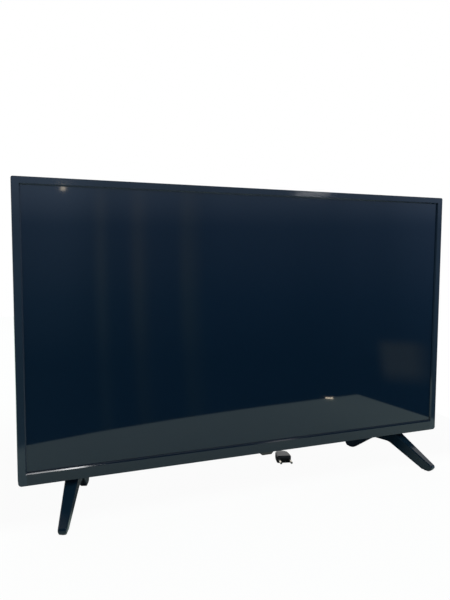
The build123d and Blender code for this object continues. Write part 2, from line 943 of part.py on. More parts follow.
with BuildPart() as switch_body:
    with BuildSketch(Plane.XY.offset(switch_low_z)):
        with Locations(key_place):
            Rectangle(switch_side, switch_side)
    extrude(amount=switch_height)
    with BuildSketch(Plane.XY.offset(switch_low_z)):
        with Locations(key_place):
            Circle(plunger_radius + running_gap)
    extrude(amount=switch_bore_depth + running_gap, mode=Mode.SUBTRACT)
finish(switch_body.part, "switch_body")

# Key board on two posts of the cover
key_board_mid_x = (window_x + key_x) / 2
key_board_front = key_depth - key_board_depth / 2
key_board_box = (key_board_mid_x - key_board_width / 2, key_board_mid_x + key_board_width / 2,
                 key_board_front, key_board_front + key_board_depth)
with BuildPart() as key_board:
    block(*key_board_box, key_board_low_z, key_board_low_z + board_thickness)
finish(key_board.part, "key_board")

# Infrared receiver behind the light guide of the window
with BuildPart() as infrared_receiver:
    block(window_x - receiver_width / 2, window_x + receiver_width / 2, key_board_box[2],
          key_board_box[2] + receiver_thickness, key_board_low_z - receiver_height, key_board_low_z)
finish(infrared_receiver.part, "infrared_receiver")

# Receiver window: a rounded bump under the bezel, with a light guide inside
guide_top_z = underside_height + bezel_wall + guide_rise
with BuildPart() as receiver_window:
    with BuildSketch(plane_at(window_front_depth)):
        with BuildLine():
            Polyline(
                (window_x - window_top_width / 2, underside_height),
                (window_x - window_low_width / 2, underside_height - window_drop),
                (window_x + window_low_width / 2, underside_height - window_drop),
                (window_x + window_top_width / 2, underside_height),
                close=True,
            )
        make_face()
        fillet(vertices().group_by(Axis.Y)[0], window_round)
    extrude(amount=-window_thickness)
    chamfer(receiver_window.faces().sort_by(Axis.Y)[0].edges().group_by(Axis.Z)[0], window_edge)
    block(window_x - guide_width / 2, window_x + guide_width / 2, window_front_depth + window_edge,
          window_front_depth + window_edge + guide_thickness, underside_height, guide_top_z)
    block(window_x - guide_width / 2, window_x + guide_width / 2, window_front_depth + window_edge,
          guide_back_depth, underside_height + bezel_wall + fit_gap, guide_top_z)
finish(receiver_window.part, "receiver_window")

# Inside form of the rear cover
cover_front = bezel_depth + fit_gap
with BuildPart() as cover_cavity:
    with BuildSketch(plane_at(cover_front - overrun)):
        panel_area(cover_wall + slab_inset)
        area(-hump_half_width + cover_wall, hump_half_width - cover_wall, cover_floor_z, panel_mid_z)
    extrude(amount=cover_front - overrun - cover_inside)
    with BuildSketch(plane_at(cover_inside - overrun)):
        area(-hump_half_width + cover_wall, hump_half_width - cover_wall, cover_floor_z,
             hump_top_z - cover_wall)
    extrude(amount=cover_inside - overrun - slab_depth)
    with BuildSketch(plane_at(slab_depth)):
        area(-hump_half_width + cover_wall, hump_half_width - cover_wall, cover_floor_z,
             hump_top_z - cover_wall)
    with BuildSketch(plane_at(hump_inside)):
        area(-hump_back_half + cover_wall, hump_back_half - cover_wall, cover_floor_z,
             hump_back_top_z - cover_wall)
    loft()
    block(-hump_half_width - overrun, port_inner_x, cover_inside, hump_depth + overrun,
          bay_low_z - cover_wall, bay_top_z + cover_wall, Mode.SUBTRACT)

# Rear cover: a thin slab, the deeper hump, the connector bay, slots, wells and posts
foot_cos = math.cos(math.radians(foot_turn))
foot_sin = math.sin(math.radians(foot_turn))


def foot_place(side, along):
    return (side * (foot_x + along * foot_sin), -along * foot_cos)


foot_screw_places = [foot_place(side, along) for side in (-1, 1)
                     for along in (foot_screw_front, -foot_screw_rear)]
bay_edge_x = -hump_half_width - overrun
with BuildPart() as rear_cover:
    with BuildSketch(plane_at(cover_front)):
        panel_area(slab_inset)
    extrude(amount=cover_front - slab_depth)
    fillet(rear_cover.faces().sort_by(Axis.Y)[-1].edges(), slab_edge_radius)
    with BuildSketch(plane_at(cover_front)):
        area(-hump_half_width, hump_half_width, underside_height, panel_mid_z)
    extrude(amount=cover_front - hump_root_depth)
    with BuildSketch(plane_at(hump_root_depth)):
        area(-hump_half_width, hump_half_width, underside_height, hump_top_z)
    extrude(amount=hump_root_depth - slab_depth)
    with BuildSketch(plane_at(slab_depth)):
        area(-hump_half_width, hump_half_width, underside_height, hump_top_z)
    with BuildSketch(plane_at(hump_depth)):
        area(-hump_back_half, hump_back_half, underside_height, hump_back_top_z)
    loft()
    fillet(rear_cover.faces().sort_by(Axis.Y)[-1].edges(), hump_edge_radius)
    block(bay_edge_x, port_face_x, slab_depth, hump_depth + overrun, bay_low_z, bay_top_z,
          Mode.SUBTRACT)
    add(cover_cavity.part, mode=Mode.SUBTRACT)
    block(port_face_x - overrun, port_inner_x + overrun, port_window_low, port_window_high,
          port_low_z, port_top_z, Mode.SUBTRACT)
    with BuildSketch(plane_at(pan_back)):
        with Locations(*cover_screw_places):
            Circle(cover_boss_radius)
    extrude(amount=pan_back - cover_inside)
    with BuildSketch(plane_at(pan_back - overrun)):
        with Locations(*cover_screw_places):
            Circle(cover_screw_radius + fit_gap)
    extrude(amount=pan_back - slab_depth - overrun, mode=Mode.SUBTRACT)
    with BuildSketch(plane_at(slab_depth)):
        with Locations(*cover_screw_places):
            Circle(cover_well_radius)
    extrude(amount=cover_well_depth, mode=Mode.SUBTRACT)
    with BuildSketch(plane_at(hump_depth)):
        with Locations(*standoff_places):
            Circle(standoff_radius + standoff_clearance)
    extrude(amount=cover_wall + overrun, mode=Mode.SUBTRACT)
    with BuildSketch(plane_at(cover_inside)):
        with Locations((0, hump_top_z - air_slot_drop)):
            with GridLocations(air_slot_pitch, 0, air_slot_count, 1):
                SlotOverall(air_slot_length, air_slot_width, rotation=90)
    extrude(amount=cover_inside - hump_depth, mode=Mode.SUBTRACT)
    with BuildSketch(plane_at(hump_inside - overrun)):
        with Locations((0, underside_height + inlet_rise)):
            with GridLocations(air_slot_pitch, 0, inlet_count, 1):
                Rectangle(air_slot_width, inlet_length)
    extrude(amount=hump_inside - overrun - hump_depth, mode=Mode.SUBTRACT)
    with BuildSketch(Plane.XY.offset(underside_height - overrun)):
        for side in (-1, 1):
            with Locations((speaker_mid_x(side), y_at(speaker_mid_depth))):
                with GridLocations(speaker_slot_pitch, 0, speaker_slot_count, 1):
                    Rectangle(speaker_slot_width, cone_width)
        with Locations(key_place):
            Circle(key_cap_radius + fit_gap)
        with Locations(*foot_screw_places):
            Circle(foot_screw_radius + foot_hole_gap)
    extrude(amount=cover_wall + 2 * overrun, mode=Mode.SUBTRACT)
    with BuildSketch(plane_at(hump_depth)):
        with Locations((gland_x, gland_height)):
            Circle(gland_neck_radius + running_gap)
    extrude(amount=cover_wall + overrun, mode=Mode.SUBTRACT)
    for post_x in (key_board_box[0], key_board_box[1] - key_post_side):
        block(post_x, post_x + key_post_side, key_depth - key_post_side / 2,
              key_depth + key_post_side / 2, cover_floor_z, key_board_low_z)
finish(rear_cover.part, "rear_cover")

# Screws that hold the rear cover to the pan
cover_head_depth = slab_depth - cover_well_depth
with BuildPart() as cover_screws:
    with BuildSketch(plane_at(pan_floor)):
        with Locations(*cover_screw_places):
            Circle(cover_screw_radius)
    extrude(amount=pan_floor - cover_head_depth)
    with BuildSketch(plane_at(cover_head_depth)):
        with Locations(*cover_screw_places):
            Circle(cover_head_radius)
    extrude(amount=-cover_head_height)
finish(cover_screws.part, "cover_screws")

# Steel foot brackets: a plate on the floor of the cover and a leaf against the pan
bracket_top_z = cover_floor_z + bracket_thickness
with BuildPart() as foot_brackets:
    for side in (-1, 1):
        inner = side * (foot_x - bracket_inner_reach)
        outer = side * (foot_x + bracket_outer_reach)
        left, right = sorted((inner, outer))
        block(left, right, bracket_front_depth, bracket_back_depth, cover_floor_z, bracket_top_z)
        block(left, right, pan_back, pan_back + bracket_thickness, cover_floor_z,
              cover_floor_z + bracket_height)
    with BuildSketch(Plane.XY.offset(cover_floor_z)):
        with Locations(*foot_screw_places):
            Circle(foot_screw_radius + running_gap)
    extrude(amount=bracket_thickness, mode=Mode.SUBTRACT)
finish(foot_brackets.part, "foot_brackets")

# Feet: an inverted V, drawn from the side, then tapered to its toes across its width
screw_seat_z = underside_height - foot_screw_seat
for side, name in ((-1, "foot_left"), (1, "foot_right")):
    along = (side * foot_sin, -foot_cos, 0)
    side_plane = Plane(origin=(side * foot_x, 0, 0), x_dir=along, z_dir=(-foot_cos, -side * foot_sin, 0))
    end_plane = Plane(origin=(side * foot_x, 0, 0), x_dir=(foot_cos, side * foot_sin, 0), z_dir=along)
    with BuildPart() as foot:
        with BuildSketch(side_plane):
            with BuildLine():
                FilletPolyline(
                    (foot_front_top, underside_height),
                    (toe_reach, toe_height),
                    (toe_contact, pad_lift),
                    (toe_contact - toe_front_sole, pad_lift),
                    (arch_front, arch_height),
                    (-arch_rear, arch_height),
                    (toe_rear_sole - rear_toe_contact, pad_lift),
                    (-rear_toe_contact, pad_lift),
                    (-rear_toe_reach, toe_height),
                    (-foot_rear_top, underside_height),
                    radius=[0, toe_radius, toe_radius, heel_radius, arch_front_radius,
                            arch_rear_radius, heel_radius, toe_radius, toe_radius, 0],
                    close=True,
                )
            make_face()
        extrude(amount=foot_top_width, both=True)
        with BuildSketch(end_plane):
            with BuildLine():
                Polyline(
                    (-foot_top_width / 2, underside_height),
                    (-foot_toe_width / 2, 0),
                    (foot_toe_width / 2, 0),
                    (foot_top_width / 2, underside_height),
                    close=True,
                )
            make_face()
        extrude(amount=toe_reach + rear_toe_reach, both=True, mode=Mode.INTERSECT)
        flanks = foot.faces().sort_by(SortBy.AREA)[-2:]
        fillet([edge for flank in flanks for edge in flank.edges()
                if edge.center().Z < underside_height - foot_edge_radius], foot_edge_radius)
        with BuildSketch(Plane.XY.offset(pad_lift)):
            for reach in pad_reaches:
                with Locations(Location((*foot_place(side, reach), 0), (0, 0, side * foot_turn))):
                    RectangleRounded(pad_width + 2 * running_gap, pad_length + 2 * running_gap,
                                     pad_corner)
        extrude(amount=pad_sink, mode=Mode.SUBTRACT)
        with BuildSketch(Plane.XY):
            for reach in (foot_screw_front, -foot_screw_rear):
                with Locations(foot_place(side, reach)):
                    Circle(foot_head_radius + foot_head_gap)
        extrude(amount=screw_seat_z, mode=Mode.SUBTRACT)
        with BuildSketch(Plane.XY):
            for reach in (foot_screw_front, -foot_screw_rear):
                with Locations(foot_place(side, reach)):
                    Circle(foot_screw_radius + foot_hole_gap)
        extrude(amount=underside_height, mode=Mode.SUBTRACT)
    finish(foot.part, name)

# Rubber pads in the toes
with BuildPart() as foot_pads:
    with BuildSketch(Plane.XY):
        for side in (-1, 1):
            for reach in pad_reaches:
                with Locations(Location((*foot_place(side, reach), 0), (0, 0, side * foot_turn))):
                    RectangleRounded(pad_width, pad_length, pad_corner)
    extrude(amount=pad_lift + pad_sink)
finish(foot_pads.part, "foot_pads")

# Foot screws, up through the feet and the cover into the brackets
with BuildPart() as foot_screws:
    with BuildSketch(Plane.XY.offset(screw_seat_z)):
        with Locations(*foot_screw_places):
            Circle(foot_screw_radius)
    extrude(amount=bracket_top_z + foot_screw_tip - screw_seat_z)
    with BuildSketch(Plane.XY.offset(screw_seat_z - foot_head_height)):
        with Locations(*foot_screw_places):
            Circle(foot_head_radius)
    extrude(amount=foot_head_height)
finish(foot_screws.part, "foot_screws")

# Strain relief of the mains lead: flange, neck, inner flange and tapered sleeve
gland_end_depth = hump_depth + gland_flange_thickness + gland_sleeve_length
with BuildPart() as strain_relief:
    with BuildSketch(plane_at(hump_inside)):
        with Locations((gland_x, gland_height)):
            Circle(gland_neck_radius)
    extrude(amount=-cover_wall)
    with BuildSketch(plane_at(hump_inside - gland_inner_thickness)):
        with Locations((gland_x, gland_height)):
            Circle(gland_inner_flange)
    extrude(amount=-gland_inner_thickness)
    with BuildSketch(plane_at(hump_depth)):
        with Locations((gland_x, gland_height)):
            Circle(gland_flange_radius)
    extrude(amount=-gland_flange_thickness)
    with BuildSketch(plane_at(hump_depth + gland_flange_thickness)):
        with Locations((gland_x, gland_height)):
            Circle(gland_sleeve_root)
    with BuildSketch(plane_at(gland_end_depth)):
        with Locations((gland_x, gland_height)):
            Circle(gland_sleeve_tip)
    loft()
finish(strain_relief.part, "strain_relief")


def corner_radii(points):
    corners = [Vector(*point) for point in points]
    radii = []
    for before, corner, after in zip(corners, corners[1:], corners[2:]):
        turn = (corner - before).get_angle(after - corner)
        shorter = min((corner - before).length, (after - corner).length)
        radii.append(lead_bend_share * shorter / math.tan(math.radians(turn / 2)))
    return radii


# Coil of the put-away lead: two flat layers of half turns, in and then out again
lead_radius = lead_diameter / 2
coil_pitch = lead_diameter + coil_turn_gap
layer_low_z = tie_ground_gap + tie_thickness + fit_gap + lead_radius
layer_high_z = layer_low_z + lead_diameter + coil_layer_gap
turn_ends = [coil_radius - step * coil_pitch / 2 for step in range(coil_half_turns + 2)]
turn_ends += [turn_ends[-1] + coil_pitch + step * coil_pitch / 2 for step in range(coil_half_turns)]
turn_points = []
for step, reach in enumerate(turn_ends):
    sign = 1 if step % 2 == 0 else -1
    height = layer_low_z if step <= coil_half_turns else layer_high_z
    turn_points.append(Vector(coil_x + sign * reach, coil_y, height))
coil_start = turn_points[0] - Vector(0, lead_diameter, 0)
coil_end = turn_points[-1] - Vector(0, lead_diameter, 0)

with BuildPart() as lead_coil:
    with BuildLine() as coil_path:
        Line(coil_start, turn_points[0])
        for step, (begin, end) in enumerate(zip(turn_points, turn_points[1:])):
            bulge = (end - begin).length / 2 * (1 if step % 2 == 0 else -1)
            ThreePointArc(begin, (begin + end) / 2 + Vector(0, bulge, 0), end)
        Line(turn_points[-1], coil_end)
    with BuildSketch(Plane(origin=coil_start, z_dir=(0, 1, 0))):
        Circle(lead_radius)
    sweep()
finish(lead_coil.part, "lead_coil")

# First stretch of the lead, from the strain relief down to the coil
gland_end = (gland_x, y_at(gland_end_depth), gland_height)
first_points = [
    gland_end,
    (gland_x, 91, gland_height),
    (187, 113, 64),
    (189, 125, 38),
    (187, 141, 16),
    (182, 162, coil_start.Z),
    tuple(coil_start),
]
first_radii = corner_radii(first_points)
with BuildPart() as lead_first_stretch:
    with BuildLine() as first_path:
        FilletPolyline(*first_points, radius=first_radii)
    with BuildSketch(first_path.line ^ 0):
        Circle(lead_radius)
    sweep()
finish(lead_first_stretch.part, "lead_first_stretch")

# Last stretch of the lead, from the coil to the plug
plug_mid_z = tie_ground_gap + plug_height / 2
plug_sin = math.sin(math.radians(plug_turn))
plug_cos = math.cos(math.radians(plug_turn))
plug_reach = plug_length + plug_sleeve_length


def plug_place(back):
    return (plug_x + back * plug_sin, plug_front_y + back * plug_cos, plug_mid_z)


def plug_plane(back):
    return Plane(origin=plug_place(back), x_dir=(-plug_cos, plug_sin, 0), z_dir=(plug_sin, plug_cos, 0))


last_points = [
    tuple(coil_end),
    (98, 166, coil_end.Z),
    (103, 144, 8.6),
    plug_place(plug_reach + plug_lead_straight),
    plug_place(plug_reach),
]
last_radii = corner_radii(last_points)
with BuildPart() as lead_last_stretch:
    with BuildLine() as last_path:
        FilletPolyline(*last_points, radius=last_radii)
    with BuildSketch(last_path.line ^ 0):
        Circle(lead_radius)
    sweep()
finish(lead_last_stretch.part, "lead_last_stretch")

# Tie: a flat strap round all the turns where the coil reaches furthest back
bundle_inner = coil_y + turn_ends[coil_half_turns + 1] + coil_pitch / 4 - lead_radius
bundle_outer = coil_y + coil_radius + lead_radius
tie_inner = bundle_inner - tie_slack
tie_outer = bundle_outer + fit_gap
tie_top_z = layer_high_z + lead_radius + fit_gap
with BuildPart() as coil_tie:
    with BuildSketch(Plane.YZ.offset(coil_x - tie_width / 2)):
        area(tie_inner - tie_thickness, tie_outer + tie_thickness, tie_ground_gap,
             tie_top_z + tie_thickness)
        fillet(vertices(), tie_corner)
        area(tie_inner, tie_outer, tie_ground_gap + tie_thickness, tie_top_z, Mode.SUBTRACT)
    extrude(amount=tie_width)
finish(coil_tie.part, "coil_tie")

# Plug body: flat, drawn in towards the lead, with a tapered sleeve
with BuildPart() as plug_body:
    with BuildSketch(plug_plane(0)):
        RectangleRounded(plug_width, plug_height, plug_corner)
    with BuildSketch(plug_plane(plug_waist_length)):
        RectangleRounded(plug_waist_width, plug_height, plug_corner)
    with BuildSketch(plug_plane(plug_length)):
        RectangleRounded(plug_tail_width, plug_tail_height, plug_tail_corner)
    loft(ruled=True)
    with BuildSketch(plug_plane(plug_length)):
        Circle(plug_sleeve_root)
    with BuildSketch(plug_plane(plug_reach)):
        Circle(plug_sleeve_tip)
    loft()
    with BuildSketch(plug_plane(0)):
        with GridLocations(pin_spacing, 0, 2, 1):
            Circle(pin_radius)
    extrude(amount=pin_sink, mode=Mode.SUBTRACT)
finish(plug_body.part, "plug_body")

# Plug pins
with BuildPart() as plug_pins:
    with BuildSketch(plug_plane(-pin_length)):
        with GridLocations(pin_spacing, 0, 2, 1):
            Circle(pin_radius)
    extrude(amount=pin_length + pin_sink)
    pin_fronts = plug_pins.faces().group_by(Axis((0, 0, 0), (plug_sin, plug_cos, 0)))[0]
    chamfer(pin_fronts.edges(), pin_edge)
finish(plug_pins.part, "plug_pins")

# Lengths, radii and the coil's least gap to itself, printed for the report
samples = 40
turn_samples = []
for step, (begin, end) in enumerate(zip(turn_points, turn_points[1:])):
    middle = (begin + end) / 2
    half = (begin - end) / 2
    bulge = Vector(0, half.length * (1 if step % 2 == 0 else -1), 0)
    for sample in range(samples):
        angle = math.pi * sample / samples
        turn_samples.append(middle + half * math.cos(angle) + bulge * math.sin(angle))
least_gap = min(
    (turn_samples[first] - turn_samples[second]).length - lead_diameter
    for first in range(len(turn_samples))
    for second in range(first + samples, len(turn_samples))
)
section = math.pi * lead_radius ** 2
for name, path, body, radii in (
    ("first stretch", first_path, lead_first_stretch, first_radii),
    ("coil", coil_path, lead_coil, []),
    ("last stretch", last_path, lead_last_stretch, last_radii),
):
    length = sum(edge.length for edge in path.edges())
    print(name, "length", round(length, 1), "volume share", round(body.part.volume / section / length, 4),
          "radii", [round(radius, 1) for radius in radii])
print("coil least gap to itself", round(least_gap, 2))
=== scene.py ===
import math

import bpy
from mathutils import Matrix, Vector


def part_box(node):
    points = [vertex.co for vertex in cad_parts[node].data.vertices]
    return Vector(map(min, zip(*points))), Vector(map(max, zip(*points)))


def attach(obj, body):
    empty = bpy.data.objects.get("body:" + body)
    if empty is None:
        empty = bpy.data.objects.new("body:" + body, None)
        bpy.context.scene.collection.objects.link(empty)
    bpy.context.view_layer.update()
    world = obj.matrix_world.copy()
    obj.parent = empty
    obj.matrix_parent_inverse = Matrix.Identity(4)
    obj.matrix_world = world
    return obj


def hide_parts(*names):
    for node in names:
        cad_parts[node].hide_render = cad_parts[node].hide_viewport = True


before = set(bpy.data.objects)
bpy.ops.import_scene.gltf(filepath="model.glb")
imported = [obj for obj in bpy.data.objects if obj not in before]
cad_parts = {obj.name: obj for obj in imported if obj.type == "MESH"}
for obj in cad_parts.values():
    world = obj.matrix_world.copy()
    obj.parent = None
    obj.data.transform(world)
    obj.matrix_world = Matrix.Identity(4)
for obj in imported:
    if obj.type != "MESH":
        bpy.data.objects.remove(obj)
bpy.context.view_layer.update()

# The photograph is taken by hand from the left of the set, a little above its middle and
# turned towards it. The view is upright, with the long side of the sensor standing.
camera_data = bpy.data.cameras.new("camera")
camera_data.sensor_width = 36
camera_data.lens = 34.26
camera = bpy.data.objects.new("camera", camera_data)
camera.location = (-0.389, -0.847, 0.376)
camera.rotation_euler = [math.radians(turn) for turn in (85.461, -0.248, -22.126)]
bpy.context.collection.objects.link(camera)
bpy.context.scene.camera = camera
bpy.context.scene.view_settings.view_transform = "Standard"


# The set stands on a pale matt table, whose bowed front edge and right end show in the
# screen. Behind and under the set its tone is painted darker, a painted shade, and the camera
# sees it as white.
class Value:
    """A shader socket on which sums, products and comparisons add their own Math nodes."""

    def __init__(self, finish, socket):
        self.finish = finish
        self.socket = socket

    def maths(self, operation, *terms):
        return self.finish.node("ShaderNodeMath", {"operation": operation}, dict(enumerate(terms)))

    def __add__(self, other):
        return self.maths("ADD", self, other)

    def __sub__(self, other):
        return self.maths("SUBTRACT", self, other)

    def __rsub__(self, other):
        return self.maths("SUBTRACT", other, self)

    def __mul__(self, other):
        return self.maths("MULTIPLY", self, other)

    def __mod__(self, other):
        return self.maths("FLOORED_MODULO", self, other)

    def __gt__(self, other):
        return self.maths("GREATER_THAN", self, other)

    def __lt__(self, other):
        return self.maths("LESS_THAN", self, other)

    def __abs__(self):
        return self.maths("ABSOLUTE", self)


class Finish:
    """A material, or the world, that is built up node by node."""

    def __init__(self, name, owner=None):
        self.owner = owner or bpy.data.materials.new(name)
        self.owner.use_nodes = True
        self.tree = self.owner.node_tree

    def feed(self, node, values):
        for key, value in values.items():
            socket = node.inputs[key]
            if isinstance(value, Value):
                self.tree.links.new(value.socket, socket)
            elif isinstance(value, tuple) and socket.type == "RGBA":
                socket.default_value = (*value, 1)
            else:
                socket.default_value = value

    def node(self, kind, settings, values, output=0):
        made = self.tree.nodes.new(kind)
        for key, value in settings.items():
            if key == "stops":
                ramp = made.color_ramp
                while len(ramp.elements) < len(value):
                    ramp.elements.new(1)
                for element, (place, colour) in zip(ramp.elements, value):
                    element.position = place
                    element.color = (*colour, 1)
            else:
                setattr(made, key, value)
        self.feed(made, values)
        return Value(self, made.outputs[output])

    def place(self, which="Object"):
        """The place on the object, as its three numbers."""
        spot = self.node("ShaderNodeTexCoord", {}, {}, which)
        split = self.node("ShaderNodeSeparateXYZ", {}, {0: spot})
        return [Value(self, output) for output in split.socket.node.outputs]

    def noise(self, scale, detail=2, stretch=(1, 1, 1), which="Object"):
        spot = self.node("ShaderNodeTexCoord", {}, {}, which)
        spot = self.node("ShaderNodeMapping", {}, {"Vector": spot, "Scale": stretch})
        return self.node("ShaderNodeTexNoise", {}, {"Vector": spot, "Scale": scale, "Detail": detail})

    def cells(self, scale, feature="F1", output="Distance"):
        spot = self.node("ShaderNodeTexCoord", {}, {}, "Object")
        return self.node("ShaderNodeTexVoronoi", {"feature": feature}, {"Vector": spot, "Scale": scale},
                         output)

    def mixed(self, share, low, high):
        return self.node("ShaderNodeMix", {"data_type": "RGBA"}, {0: share, 6: low, 7: high}, 2)

    def tinted(self, colour, tint):
        return self.node("ShaderNodeVectorMath", {"operation": "MULTIPLY"}, {0: colour, 1: tint})

    def ramp(self, value, stops):
        return self.node("ShaderNodeValToRGB", {"stops": stops}, {0: value})

    def relief(self, height, distance, strength=1):
        return self.node("ShaderNodeBump", {},
                         {"Strength": strength, "Distance": distance, "Height": height})

    def surface(self, values):
        self.feed(self.tree.nodes["Principled BSDF"], values)


table_edge = [(-3.0, 0.3), (-0.70, -0.26), (-0.333, -0.376), (-0.186, -0.413), (-0.018, -0.442),
              (0.170, -0.464), (0.385, -0.480), (0.519, -0.487), (0.542, -0.269), (0.85, 2.8), (-3.0, 2.8)]
table_mesh = bpy.data.meshes.new("table_top")
table_mesh.from_pydata([(x, y, 0) for x, y in table_edge], [], [range(len(table_edge))])
table_top = bpy.data.objects.new("table_top", table_mesh)
bpy.context.collection.objects.link(table_top)
table_finish = Finish("pale_table")
pale = table_finish.mixed(table_finish.noise(9), (0.54, 0.68, 0.61), (0.58, 0.72, 0.65))
table_x, table_y, _ = table_finish.place()
# The table is painted darker behind and under the set, as painted shade.
painted_shade_front_y = -0.1
painted_shade_depth = table_finish.ramp(table_y - painted_shade_front_y, [
    (0.04, (0, 0, 0)),
    (0.09, (1, 1, 1)),
    (0.35, (1, 1, 1)),
    (0.80, (0, 0, 0)),
])
painted_shade_width = table_finish.ramp(abs(table_x), [(0.44, (1, 1, 1)), (0.80, (0, 0, 0))])
table_with_painted_shade = table_finish.mixed(painted_shade_depth * painted_shade_width, pale, (0.05, 0.07, 0.07))
table_finish.surface({"Base Color": table_with_painted_shade, "Roughness": 0.7, "Specular IOR Level": 0.2})
matt = Value(table_finish, table_finish.tree.nodes["Principled BSDF"].outputs[0])
white = table_finish.node("ShaderNodeEmission", {}, {"Color": (1, 1, 1)})
seen = table_finish.node("ShaderNodeLightPath", {}, {}, "Is Camera Ray")
white_share = 0.96
shown = table_finish.node("ShaderNodeMixShader", {}, {0: seen * white_share, 1: matt, 2: white})
table_finish.feed(table_finish.tree.nodes["Material Output"], {"Surface": shown})
table_top.data.materials.append(table_finish.owner)


# The room: a white backdrop behind the set, and a dim blue hall before it that only the gloss
# shows. The hall is palest a little above eye level and has upright folds, with warm streaks
# low on the left and a pale crate low on the right, as in the screen.
world = bpy.data.worlds.new("room")
bpy.context.scene.world = world
room = Finish("room", world)
room_x, room_y, room_z = room.place("Generated")
backdrop_y = 0.1
across, upward = room_x * 0.5 + 0.5, room_z * 0.5 + 0.5
folds = room.noise(7, 1, (1, 1, 0.15), "Generated")
hall = room.ramp(upward, [
    (0.0, (0.01, 0.02, 0.03)),
    (0.41, (0.02, 0.04, 0.07)),
    (0.46, (0.06, 0.11, 0.20)),
    (0.525, (0.18, 0.26, 0.42)),
    (0.545, (0.46, 0.60, 0.86)),
    (0.57, (0.75, 1.00, 1.35)),
    (0.64, (0.35, 0.50, 0.75)),
    (0.72, (0.03, 0.05, 0.08)),
    (1.0, (0.01, 0.02, 0.03)),
])
sideways = room.ramp(across, [
    (0.30, (0.05, 0.05, 0.05)),
    (0.50, (0.9, 0.9, 0.9)),
    (0.54, (1.0, 1.0, 1.0)),
    (0.60, (0.65, 0.65, 0.65)),
    (0.75, (0.55, 0.55, 0.55)),
    (0.81, (0.8, 0.8, 0.8)),
    (0.84, (1.2, 1.2, 1.2)),
])
hall = room.tinted(hall, sideways)
hall = room.node("ShaderNodeVectorMath", {"operation": "SCALE"}, {0: hall, "Scale": folds * 1.2 + 0.4})
streaks = room.ramp(across, [
    (0.550, (1.6, 1.5, 1.2)),
    (0.578, (1.5, 1.4, 1.1)),
    (0.586, (4.4, 3.4, 1.9)),
    (0.594, (1.5, 1.4, 1.1)),
    (0.608, (1.2, 1.1, 1)),
    (0.616, (4.4, 3.0, 1.4)),
    (0.627, (1.4, 1.2, 1)),
    (0.648, (1.2, 1.1, 1)),
    (0.657, (4.0, 3.0, 1.5)),
    (0.672, (1, 1, 1)),
])
lower_part = room.ramp(room_z * 4 + 0.5, [(0, (1, 1, 1)), (1, (0, 0, 0))])
streaks = room.mixed(lower_part, (1, 1, 1), streaks)
hall = room.tinted(hall, streaks)
crate_sides = room.ramp(room_x, [
    (0.596, (0, 0, 0)),
    (0.608, (1, 1, 1)),
    (0.640, (1, 1, 1)),
    (0.665, (0, 0, 0)),
])
crate_rise = room.ramp(room_z * -1, [
    (0.138, (0, 0, 0)),
    (0.152, (1, 1, 1)),
    (0.190, (1, 1, 1)),
    (0.215, (0, 0, 0)),
])
hall = room.mixed(crate_sides * crate_rise, hall, (0.19, 0.21, 0.18))
gloss_view = room.mixed(room_y > backdrop_y, hall, (1, 1, 1))
glossy = room.node("ShaderNodeLightPath", {}, {}, "Is Glossy Ray")
seen = room.node("ShaderNodeLightPath", {}, {}, "Is Camera Ray")
through = room.node("ShaderNodeLightPath", {}, {}, "Is Transmission Ray")
light = room.mixed(glossy, (0.66, 0.67, 0.69), gloss_view)
light = room.mixed(seen.maths("MAXIMUM", seen, through), light, (1, 1, 1))
room.feed(world.node_tree.nodes["Background"], {"Color": light, "Strength": 1.0})

# The lamps: a wide soft box overhead and one behind, which the gloss doesn't show, three strips
# high in front that show as pale dashes in the lower bevel, two small far ones that show along
# the top edge, and a small one low at the table's edge.
plain_tone, warm_tone = (1, 1, 1), (1, 0.84, 0.62)
for name, place, aim, size, power, tone, shown in (
    ("overhead", (0.1, -0.1, 2.3), (0, 0, 0), (2.4, 2.4), 30, plain_tone, False),
    ("behind", (0.5, 2.2, 1.5), (0, 0, 0.25), (1.6, 1.2), 20, plain_tone, False),
    ("left_strip", (-0.155, -1.37, 2.34), (-0.32, -0.03, 0.08), (0.19, 0.17), 0.8, plain_tone, True),
    ("left_tube", (0.008, -1.37, 2.34), (-0.28, -0.03, 0.08), (0.13, 0.17), 1.7, plain_tone, True),
    ("right_strip", (1.48, -1.35, 2.42), (0.06, -0.03, 0.09), (0.67, 0.11), 0.36, plain_tone, True),
    ("far_spot", (0.038, -2.993, 0.791), (-0.297, -0.03, 0.466), (0.03, 0.025), 0.02, warm_tone, True),
    ("far_tube", (1.618, -2.597, 0.790), (0.095, -0.033, 0.475), (0.20, 0.012), 0.11, plain_tone, True),
    ("table_glare", (0.417, -0.468, 0.004), (0.14, -0.03, 0.13), (0.02, 0.003), 0.003, warm_tone, True),
):
    box_light = bpy.data.lights.new(name, "AREA")
    box_light.color = tone
    box_light.shape = "RECTANGLE"
    box_light.size, box_light.size_y = size
    box_light.energy = power
    soft_box = bpy.data.objects.new(name, box_light)
    bpy.context.collection.objects.link(soft_box)
    soft_box.visible_glossy = shown
    soft_box.location = place
    way = Vector(place) - Vector(aim)
    soft_box.rotation_euler = way.to_track_quat("Z", "Y").to_euler()


